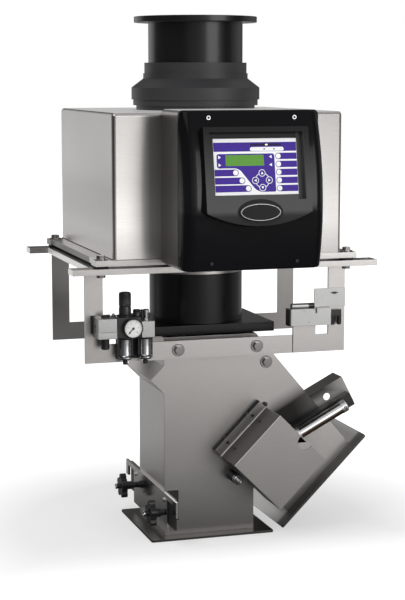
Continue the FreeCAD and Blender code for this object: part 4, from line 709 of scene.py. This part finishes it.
class DETECTOR_OT_black(Dresser):
    """Black tube, collar, bezel, brackets and rubber."""

    bl_idname = "detector.black"
    bl_label = "Black pieces"

    def make(self, sizes, colours):
        tube = plastic("tube_plastic_finish", colours.tube, (0.2, 0.27), gloss=0.35)
        eased("feed_tube", tube, 0.8)
        eased("tube_foot", tube, 0.8)
        coat(plastic("collar_finish", colours.collar, (0.42, 0.52), gloss=0.35), "upper_collar")
        # Painted sheen: the bezel's gloss by height stands in for the studio's reflection in it.
        painted_sheen = ("Z", ((0.604, 0.07), (0.7, 0.08), (0.712, 0.1), (0.722, 0.27), (0.76, 0.26),
                       (0.83, 0.13), (0.872, 0.06), (0.911, 0.05)))
        coat(plastic("gloss_finish", colours.gloss, (0.08, 0.14), bump=0.01, painted_sheen=painted_sheen),
             "bezel")
        paint = plastic("paint_finish", colours.paint)
        coat(paint, "crank")
        eased("latch_brackets", paint, 0.5)
        eased("cylinder_rail", paint, 0.5)
        moulding = plastic("moulding_finish", colours.moulding, (0.34, 0.46))
        coat(moulding, "flap_bushes")
        for side, _ in STAR_KNOBS:
            eased(side + "_star_knob", moulding, 1.6, side + "_knob", 3)
        coat(plastic("rubber_finish", shade(colours.paint, 1.4), (0.6, 0.75), bump=0.2),
             "isolation_pads", "bezel_gasket", "guard_packer")
        coat(plastic("needle_finish", colours.paint, (0.3, 0.4)), "gauge_needle")


def key_spot(x, y):
    """A place on the panel, so many steps right and up from the arrow keys' middle."""
    return ARROWS_MIDDLE[0] + ARROWS_REACH * x, ARROWS_MIDDLE[1] + ARROWS_REACH * y, 0


class DETECTOR_OT_screen(Dresser):
    """Keypad, display and keys."""

    bl_idname = "detector.screen"
    bl_label = "Keypad and display"

    def make(self, sizes, colours):
        white = plastic("white_print", colours.white, (0.35, 0.45), swing=0.02, bump=0.03)
        indigo = plastic("indigo_print", colours.indigo, (0.35, 0.45), swing=0.06, bump=0.03,
                         gloss=0.14)
        dark = plastic("dark_print", (0.02, 0.012, 0.06), (0.3, 0.4), bump=0.02, gloss=0.1)
        coat(white, "keypad_panel", *(name for name in NODES if "_key_" in name))
        coat(self.display(colours), "display_module")
        coat(indigo, *ARROWS)
        mark = sizes.print_height / MM
        low, one, two, three = (PANEL_FACE + layers * mark for layers in range(4))
        self.ground(low, one, indigo)
        self.lines(low, two, white)
        self.lamps(low, two, three, dark)
        for key, (x, y) in sorted(ARROWS.items()):
            arrow = prism("arrow", [(-2.9, -2.3), (2.9, -2.3), (0, 2.9)], KEY_FACE, KEY_FACE + mark)
            fix(arrow, key_spot(x, y), turn=math.degrees(math.atan2(y, x)) - 90)
            self.on_panel(key + "_arrow", [arrow], white, "key_white", key + "_cap")
        # Grey sheets in the screen's recess paint light onto its shaded right wall and its floor.
        recess = [bar("recess_light_sheet", (94.5, 94.95), RECESS_UP, 0.2, 13.7),
                  bar("recess_floor_light", (84.3, 94.45), RECESS_UP, 0.2, 0.6)]
        dull = plastic("recess_painted_grey", (0.05, 0.05, 0.05), (0.5, 0.6), gloss=0.3)
        self.on_panel("recess_light_sheet", recess, dull, "bezel_gloss")

    def display(self, colours):
        """Green ground with the faint cells of a character display."""
        finish = Finish("display_finish")
        turned = finish.add("Mapping", Vector=finish.place, Rotation=(math.radians(90), 0, 0),
                            Location=(0.0003, 0, 0.0021))
        cells = finish.add("TexBrick", Vector=turned.outputs["Vector"], Scale=1.0, Bias=0.0,
                           Mortar_Size=0.0004, Mortar_Smooth=0.3, Brick_Width=0.0042,
                           Row_Height=0.0085)
        cells.offset = 0
        shown = finish.tint(cells.outputs["Fac"], shade(colours.screen, 0.86), colours.screen, 0, 1)
        finish.set(Emission_Color=shown, Emission_Strength=0.1, Roughness=0.3,
                   Specular_IOR_Level=0.1)
        return finish.made

    def on_panel(self, name, pieces, made, slot="panel_print", body="machine"):
        """Lays flat marks on the leaning panel."""
        dress(lean(weld(name, *pieces)), made, body=body)

    def ground(self, low, high, made):
        """Indigo areas of the print."""
        field = prism("display_field", [(-78.2, 22), (-78.2, -5.6), (-34.8, -5.6), (0.8, -51.6),
                                        (38.6, -51.6), (38.2, 22)], low, high,
                      [4.5, 4.5, 9, 11, 3, 5], 6)
        drill(field, block("display_way", (-60.5, -1.2, 0), (16.5, 19.8, 4), 0.2, 1))
        shapes = [bar("title_band", (-83.6, 83.6), (26.4, 43.8), low, high), field]
        left_ends = (-41.8, -14.1), (-29.5, -29.6), (-17.4, -44.6)
        bands = [(-83.6, end, up, 6.4) for end, up in left_ends]
        bands += [(83.6, 46, 16.8 - 15.5 * i, 6.1) for i in range(5)]
        for edge, end, up, reach in bands:
            shapes.append(bar("band", sorted((edge, end)), (up - reach, up + reach), low, high))
            shapes.append(grow("band_end", [(reach, low), (reach, high)], (end, up, 0)))
        self.on_panel("print_ground", shapes, made)

    def lines(self, low, high, made):
        """White marks over the indigo."""
        shapes = [bar("lamp_strip", (-10.5, 58), (26.9, 34.5), low, high, 3.75, 8)]
        for tip, back, up in ((-69.4, -75, 15.6), (-69.4, -75, 0.8), (27.1, 32.7, 15.8),
                              (27.1, 32.7, 0.4)):
            shapes.append(prism("pointer", [(back, up - 3.4), (tip, up), (back, up + 3.4)],
                                low, high))
        for i, steps in enumerate(ARROWS.values()):
            shapes.append(fix(hoop("key_ring", 5.7, 6.9, low, high), key_spot(*steps)))
            shapes.append(fix(hoop("key_link", 13.4, 14.7, low, high, 90 * i + 28.5, 33, 12),
                              key_spot(0, 0)))
        self.on_panel("print_lines", shapes, made)

    def lamps(self, low, high, top, made):
        """Dark strip for the lamps, with one lamp lit, and two dots."""
        dots = [grow("dot", [(1.5, low), (1.5, top)], (x, 30.7, 0), sides=24) for x in (18.4, 38.2)]
        strip = bar("lamp_window", (-10, 53), (36.6, 41.2), low, high, 1.6, 4)
        self.on_panel("print_dark", [strip, *dots], made)
        lamp = bar("signal_lamp", (20.8, 25.4), (37.5, 40.3), low, top + 0.3, 1.2, 5)
        self.on_panel("signal_lamp", [lamp], glow("lamp_yellow", (0.9, 0.88, 0.35), 0.9))


class DETECTOR_OT_inside(Dresser):
    """Pieces inside the head: bobbin, coils and circuit board."""

    bl_idname = "detector.inside"
    bl_label = "Inner pieces"

    def make(self, sizes, colours):
        coat(plastic("bobbin_finish", (0.75, 0.75, 0.7), (0.45, 0.55), swing=0.03),
             "coil_former")
        coat(metal("coil_wire", (0.62, 0.3, 0.16), brush=(1, 1, 90), grain=60, bump=0.5),
             "detector_coils")
        coat(plastic("board_finish", (0.02, 0.14, 0.05), (0.3, 0.5), grain=300),
             "circuit_board")


class DETECTOR_OT_air(Dresser):
    """Air unit, valve and their fittings."""

    bl_idname = "detector.air"
    bl_label = "Air pieces"

    def make(self, sizes, colours):
        alloy = cast("cast_alloy", colours.alloy, (0.4, 0.52), 500, 0.15)
        bright = cast("bright_alloy", (0.62, 0.62, 0.62), (0.14, 0.22), 200, 0.02)
        black = plastic("fitting_black", colours.moulding, (0.28, 0.4))
        self.unit(alloy, bright, black)
        self.bowls(black)
        self.knob(black)
        self.gauge(black)
        self.valve(alloy, black)

    def unit(self, alloy, bright, black):
        """Shut-off block, regulator and oiler bodies, with their caps and silencer."""
        left, right, front, back = -266.5, -227, UNIT_FRONT, UNIT_BACK
        bodies = [block("inlet_lower", (left, front, UNIT_LOW), (right, back, 464.4), 0.8),
                  block("inlet_core", (left + 0.7, front + 0.7, 464), (right, back, 465.6), 0.1, 1),
                  block("inlet_upper", (left, front, 465.2), (right, back, 493), 1.2),
                  block("oiler_block", (-176.5, front, UNIT_LOW), (-149, back, 485), 1.2)]
        drill(bodies[2], grow("port", [(6.6, 0), (6.6, 13)], (left - 1, UNIT_AXIS, 472.5), RIGHT))
        drill(bodies[3], grow("mark", [(1.6, 0), (1.6, 2)], (-154, front - 1, 475), BACK, 20))
        dress(weld("air_bodies", *bodies), alloy, ("air_unit",))
        collar = grow("regulator_collar", [(17, 0), (17, 2.2), (15.4, 3.2), (15.4, 6.4)],
                      (REGULATOR_X, UNIT_AXIS, 490.5))
        drill(collar, grow("way", [(3.4, 0), (3.4, 30)], (REGULATOR_X, UNIT_AXIS, 470), sides=24))
        dress(weld(
            "air_fittings",
            block("regulator_body", (-226.9, -204.4, UNIT_LOW), (-176.6, back, 494.5), 1.6),
            collar,
            grow("gauge_boss", [(12, 0), (12, 3)], (GAUGE[0], -202, GAUGE[2]), FRONT),
            grow("inlet_cap", [(8, 0), (8, 3), (7.2, 4)], (INLET_X, UNIT_AXIS, 493)),
            block("inlet_cap_bar", (-253, -183.4, 496.2), (-236, -179.6, 499), 0.6),
            grow("silencer", [(6.2, 0), (6.2, 2), (8.5, 3), (8.5, 8), (7.9, 8.6), (8.5, 9.2),
                              (8.5, 13), (7.9, 13.6), (8.5, 14.2), (8.5, 22), (7, 24)],
                 (INLET_X, UNIT_AXIS, UNIT_LOW), DOWN),
            grow("oiler_dome", [(8, 0), (8, 16), (7.4, 17), (8, 18), (8, 20.6), (7, 22)],
                 (-180.5, UNIT_AXIS, 485)),
            grow("oiler_post", [(3.4, 0), (3.4, 20), (3, 21)], (-168, -178, 485), sides=24),
            block("mounting_plate", (-271, -162, 458), (-262, back, 495), 0.5),
            # A black plate behind the bowls paints the shade and dark reflection there.
            block("bowl_shade_plate", (-219, -161, 403), (-148, back, UNIT_LOW), 0.5),
            block("unit_link", (-229, -200, 470), (-225, -163, 496), 0.8),
        ), black)
        shiny = [grow("sight_glass", [(6.5, 0), (6.5, 3), (4.6, 3.6), (4.6, 15), (6, 15.6),
                                      (6, 20.6), (5, 22)], (-161, UNIT_AXIS, 485))]
        shiny += [grow("link_screw", [(2.6, 0), (2.6, 3), (2, 3.6)], (-226.4, y, 495.4), sides=24)
                  for y in (-194, -170)]
        dress(weld("air_bright", *shiny), bright)

    def bowls(self, black):
        """Metal bowls with black rims and drains."""
        cups, trims = [], []
        for across in (REGULATOR_X, OILER_X):
            spot = (across, UNIT_AXIS, UNIT_LOW)
            cups.append(grow("cup", [(12.4, 3), (12.4, 36.6), (13, 38.4), (15.4, 40.6),
                                     (15.6, 43.4), (12.4, 45.4)], spot, DOWN))
            trims.append(grow("rim", [(16, 0), (16, 3), (14, 5)], spot, DOWN))
            trims.append(grow("drain", [(13, 44.8), (12.4, 46.2), (6.5, 47), (4, 47.4), (4, 49),
                                        (5, 49.6), (5, 56), (4.2, 57)], spot, DOWN))
            trims += [block("strap", (x - 1.7, -183.5, 410), (x + 1.7, -172, UNIT_LOW), 0.5)
                      for x in (across - 13.7, across + 13.7)]
        silver = cast("bowl_silver", (0.42, 0.42, 0.43), (0.2, 0.27), 200, 0.02)
        dress(weld("bowl_cups", *cups), silver, ("filter_bowls",))
        dress(weld("bowl_trims", *trims), black)

    def knob(self, black):
        """The ribbed pressure knob: every second of its 48 sides is pressed in."""
        rims = [(2.9, -6), (2.9, 0.4), (12.5, 0.4), (12.5, 14), (11.6, 16.2), (11.6, 17.4),
                (12.4, 18.4), (12.4, 42), (11.8, 44.6), (9, 46), (8, 45.4)]
        knob = grow("pressure_grip", rims)
        edit("DESELECT")
        bpy.ops.mesh.select_mode(type="FACE")
        net = bmesh.from_edit_mesh(knob.data)
        for face in net.faces:
            middle = face.calc_center_median()
            side = round(math.degrees(math.atan2(middle.y, middle.x)) / 7.5 - 0.5)
            face.select_set(0.02 < middle.z < 0.04 and side % 2 == 0)
        bmesh.update_edit_mesh(knob.data)
        bpy.ops.mesh.inset(use_individual=True, thickness=0.0002, depth=-0.0004)
        outward()
        dress(fix(knob, (REGULATOR_X, UNIT_AXIS, 497.4)), black,
              ("regulator_knob",), "pressure_knob")

    def gauge(self, black):
        """Case, white dial with its scale, and the pivot of the pressure gauge."""
        case = grow("gauge_case", [(9, 0), (17.5, 0.6), (19.6, 2), (20, 3), (20, 11.2), (19.4, 12),
                                   (18.4, 12), (18.2, 11.6), (18.2, 8.3)], GAUGE, FRONT)
        dress(case, black, ("pressure_gauge",))
        dress(grow("dial", [(18.1, 8.1), (18.1, DIAL_FACE)], GAUGE, FRONT),
              plastic("dial_white", (0.86, 0.86, 0.84), (0.4, 0.5), swing=0.02, bump=0.02))
        marks = [grow("pivot", [(2.4, 8.4), (2.4, 9), (1.6, 9.3)], sides=24)]
        low, high = DIAL_FACE, DIAL_FACE + 0.08
        for i in range(21):
            turn, long = 225 - 13.5 * i, i % 4 == 0
            tick = bar("tick", (13.6 if long else 15, 16.6), (-0.22, 0.22), low, high)
            marks.append(fix(tick, turn=turn))
            if long:
                marks.append(self.number(str(i // 2), math.radians(turn)))
        marks.append(grow("dial_dot", [(1.2, low), (1.2, high)], (-7, -9.5, 0), sides=20))
        dress(fix(weld("dial_scale", *marks), GAUGE, FRONT),
              plastic("dial_ink", (0.012, 0.012, 0.013), (0.35, 0.45)))

    def number(self, text, turn):
        """One number of the dial, made a mesh before it is placed."""
        letter = begin("number", bpy.ops.object.text_add).data
        letter.body, letter.size, letter.extrude = text, 3.6 * MM, 0.03 * MM
        letter.align_x, letter.align_y = "CENTER", "CENTER"
        bpy.ops.object.convert(target="MESH")
        place = (10.6 * math.cos(turn), 10.6 * math.sin(turn), DIAL_FACE + 0.03)
        return fix(bpy.context.object, place)

    def valve(self, alloy, black):
        """Valve body, its coil, the tab above it, and the mufflers."""
        body = block("valve_body", (153, -182, 456), (243, UNIT_BACK, 492), 0.6)
        for x, z in ((182, 487), (191, 463)):
            drill(body, grow("hole", [(2, 0), (2, 3)], (x, -183.5, z), BACK, 20))
        tab = block("valve_tab", (213, -161, 492), (283, UNIT_BACK, 531), 0.4)
        dress(weld("valve_alloy", body, tab), alloy, ("valve_block",))
        dress(grow("coil", [(5.4, 0), (6, 0.6), (6, 38), (5.4, 38.6), (5.4, 40)],
                   (157.5, COIL_Y, COIL_Z), RIGHT), alloy)
        mark = prism("tab_mark", [(0, 0), (9, 2.5), (20, 0.6), (11, -3.4)], 0, 0.4, [0, 2, 0, 2])
        dress(weld(
            "valve_black",
            grow("coil_end", [(6, 0), (6, 13), (5.2, 14)], (194.5, COIL_Y, COIL_Z), RIGHT),
            block("valve_end", (149.5, -182, 456), (153.4, UNIT_BACK, 492), 0.8),
            block("manifold", (243, -175, 473), (268, UNIT_BACK, 487), 0.8),
            block("valve_latch", (208, -183.2, 482), (210.6, -181.6, 493), 0.2, 1),
            *(grow("muffler", [(4, 0), (5, 1), (5, 9), (4.4, 9.6), (5, 10.2), (5, 18), (4.4, 18.6),
                               (5, 19.2), (5, 31), (3.4, 33)], (x, COIL_Y, 487), DOWN)
              for x in (250.5, 265.5)),
            fix(mark, (248, -161, 521), FRONT),
        ), black)


def on_line(start):
    """A point of the cylinder's middle line, at a distance along it from the shaft."""
    return (Vector((SHAFT_X, CYLINDER_Y, SHAFT_Z)) + Vector(ALONG_DRIVE) * start
            + Vector(ACROSS_DRIVE) * CYLINDER_OFFSET)


def on_leg(along, across, y):
    """A point measured along and square to the reject leg, which slopes by 45 degrees."""
    return (along + across) / math.sqrt(2), y, (across - along) / math.sqrt(2)


class DETECTOR_OT_drive(Dresser):
    """Air cylinder, guard, flap sensor and small fasteners of the chute."""

    bl_idname = "detector.drive"
    bl_label = "Cylinder and guard"

    def make(self, sizes, colours):
        bright = cast("cylinder_polish", (0.66, 0.66, 0.67), (0.1, 0.17), 150, 0.01)
        black = plastic("screw_black", colours.paint)
        self.cylinder(bright, black)
        self.guard(colours, black, bright)
        self.sensor(bright, black)

    def cylinder(self, bright, black):
        """Barrel, its two ends with their feet, and the port screws."""
        spot = on_line(CYLINDER_START)
        tube = grow("barrel", [(12.6, 12), (12.6, 122)], spot, ALONG_DRIVE)
        dress(tube, bright, ("air_cylinder",))
        # Painted reflection: the barrel's lower half in brown, for the floor mirrored in it.
        tone(tube, cast("barrel_painted_reflection", (0.36, 0.26, 0.19), (0.28, 0.34), 150, 0.01),
             -Vector(ACROSS_DRIVE), 0.05)
        ends = [grow("end", rims, spot, ALONG_DRIVE) for rims in (
            [(6.4, 0), (11.6, 0), (13.5, 1.6), (13.5, 13), (12.8, 13.8)],
            [(12.8, 120), (13.5, 120.8), (13.5, 132.4), (11.6, 134)])]
        for start in (117, 225.6):
            foot = block("foot", (0, -131, -9), (12, -120, 9), 0.8)
            place = on_line(start) - Vector((0, CYLINDER_Y, 0))
            turn = Matrix.Rotation(-TILT, 4, "Y")
            ends.append(settle(foot, Matrix.Translation(place * MM) @ turn))
        dress(weld("cylinder_ends", *ends),
              cast("cap_alloy", (0.72, 0.72, 0.72), (0.4, 0.5), 400, 0.08))
        screws = [grow("port_screw", [(3.2, 0), (3.2, 1.6), (1.6, 1.6), (1.6, 0.8)],
                       on_line(start) - Vector((0, 12.6, 0)), FRONT, 24)
                  for start in (112.6, 232.6)]
        dress(weld("cylinder_screws", *screws), black)

    def guard(self, colours, black, bright):
        """Screws of the guard, glowing rods that paint highlights along its edges, a steel half
        disc that paints light into its notch, and the nuts of the latches.
        """
        places = (168, 246)
        dark = [grow("flange_screw", [(3.4, 0), (3.4, 1.4), (1.8, 1.4), (1.8, 0.6)],
                     on_leg(-118, across, -118), FRONT, 24) for across in places]
        dark += [grow("side_screw", [(2.4, 0), (2.4, 0.8), (1.6, 1.1)],
                      on_leg(GUARD_CORNER, across, -150), (-1, 0, 1), 24) for across in places]
        for rims, y in (([(4.4, 0), (4.4, 1), (3.4, 2.6), (1.6, 3)], -105),
                        ([(5.2, 0), (5.2, 5)], PLATE_FRONT)):
            dark.append(grow("top_fastener", rims, on_leg(-107.8, 284, y), FRONT, 32))
        dress(weld("guard_screws", *dark), black)
        # A steel half disc in the notch's lower half paints the light on the guard's inside.
        arc = [math.radians(180 + 12 * i) for i in range(16)]
        rim = [(15.6 * math.cos(turn), 15.6 * math.sin(turn)) for turn in arc]
        light_patch = prism("notch_light_patch", rim, 0, 1.2)
        dress(fix(light_patch, (175.1, -209.4, 213.4), FRONT),
              metal("light_patch_steel", colours.steel, (0.32, 0.42), bump=0.02))
        # Thin glowing rods along two edges of the guard paint highlights on them.
        edges = [grow("guard_highlight_rod", [(0.5, 0), (0.5, GUARD_LENGTH)],
                      on_leg(GUARD_CORNER, GUARD_LOW, y), (1, 0, 1), 8) for y in (-211.6, -120.6)]
        dress(weld("guard_highlight_rods", *edges),
              metal("edge_painted_highlight", shade(colours.steel, 1.7), (0.3, 0.4), lit=0.25))
        nuts = [grow("latch_nut", [(4.6, 0), (4.6, 2.6), (3.2, 3.2)], (-105, y, 88), LEFT, 6)
                for y in (-116, 116)]
        dress(weld("guard_bright", *nuts), bright)

    def sensor(self, bright, black):
        """The round flap sensor: a threaded body in a bright ring."""
        dress(grow("sensor_body", [(11, 0), (11, 34), (10.2, 34.6), (10.2, 36)], SENSOR, FRONT),
              black, ("flap_sensor",))
        dress(grow("sensor_ring", [(10.2, 35.6), (11, 36.4), (11, 46), (9.8, 47.6), (8, 48),
                                   (7, 47), (5.6, 46.6), (4.4, 47.2), (2.4, 47.2)], SENSOR, FRONT),
              bright)


class DETECTOR_OT_trim(Dresser):
    """Badge rim, knob rings, seams and other fine trim."""

    bl_idname = "detector.trim"
    bl_label = "Fine trim"

    def make(self, sizes, colours):
        bright = cast("trim_bright", (0.62, 0.62, 0.63), (0.16, 0.24), 200, 0.02)
        shadow = plastic("seam_dark", (0.012, 0.012, 0.012), (0.6, 0.7))
        self.badge()
        rims = [(6, -0.2), (6.1, 1.2), (5.4, 1.9), (3.6, 1.9), (3.2, 0.6)]
        for side, place in STAR_KNOBS:
            ring = grow(side + "_insert", rims, place, LEFT, 32)
            dress(ring, bright, body=side + "_knob")
        self.sockets(shadow)
        width = sizes.seam / MM
        seams = [block(name, low, high, 0.05, 1) for name, low, high in (
            ("corner_seam", (-240.4, -234.25, 617), (-240.4 + width, -233.6, 898)),
            ("foot_seam", (-238, -234.4, 614.2), (-143, -233.2, 615.4)),
            ("side_seam", (-242.4, -232, 614.2), (-241.2, 232, 616)))]
        dress(weld("head_seams", *seams), shadow)

    def badge(self):
        """A bare oval badge: a thin rim round a dull black field, on a dull oval bed."""
        rim = hoop("badge_rim", 38.7, 39.4, 17, 17.4, steps=96)
        field = grow("badge_field", [(38.7, 16.9), (38.7, 17.12)], sides=96)
        bed = grow("badge_bed", [(46, 13.6), (46, 14.1)], sides=96)
        for piece, narrow in ((rim, 23.6), (field, 23.6), (bed, 20.5)):
            for vertex in piece.data.vertices:
                reach = math.hypot(vertex.co.x, vertex.co.y) / MM
                if reach > 0:
                    vertex.co.y *= (reach - narrow) / reach
            lean(piece, -BADGE_DROP)
        dress(rim, cast("rim_grey", (0.34, 0.34, 0.34), (0.3, 0.4), 200, 0.02))
        dull = plastic("badge_dull", (0.011, 0.011, 0.011), (0.4, 0.5), gloss=0.12)
        dress(weld("badge_black", field, bed), dull)

    def sockets(self, made):
        """Flat dark hexagons on the bezel's screw heads stand in for their sockets, with the shade
        inside them painted.
        """
        screws, near = NODES["bezel_screws"], 8 * MM
        points = [screws.matrix_world @ vertex.co for vertex in screws.data.vertices]
        pins = []
        for x, z in BEZEL_SCREWS:
            front = min(spot.y for spot in points
                        if abs(spot.x - x * MM) < near and abs(spot.z - z * MM) < near) / MM
            pins.append(grow("socket", [(2.7, 0), (2.7, 0.5)], (x, front + 0.4, z), FRONT, 6))
        dress(weld("screw_sockets", *pins), made)


STEPS = (DETECTOR_OT_stage, DETECTOR_OT_steel, DETECTOR_OT_black, DETECTOR_OT_screen,
         DETECTOR_OT_inside, DETECTOR_OT_air, DETECTOR_OT_drive, DETECTOR_OT_trim)


class DETECTOR_PT_panel(bpy.types.Panel):
    """Lists the steps, in the order in which they are run."""

    bl_idname = "DETECTOR_PT_panel"
    bl_label = "Metal detector"
    bl_space_type = "VIEW_3D"
    bl_region_type = "UI"
    bl_category = "Metal detector"

    def draw(self, context):
        column = self.layout.column()
        for step in STEPS:
            column.operator(step.bl_idname)


CLASSES = (DetectorColours, DetectorSizes) + STEPS + (DETECTOR_PT_panel,)


def register():
    for each in CLASSES:
        bpy.utils.register_class(each)
    bpy.types.Scene.detector_colours = bpy.props.PointerProperty(type=DetectorColours)
    bpy.types.Scene.detector_sizes = bpy.props.PointerProperty(type=DetectorSizes)


def unregister():
    del bpy.types.Scene.detector_sizes
    del bpy.types.Scene.detector_colours
    for each in reversed(CLASSES):
        bpy.utils.unregister_class(each)


def main():
    register()
    for step in STEPS:
        group, name = step.bl_idname.split(".")
        getattr(getattr(bpy.ops, group), name)()


if __name__ == "__main__":
    main()
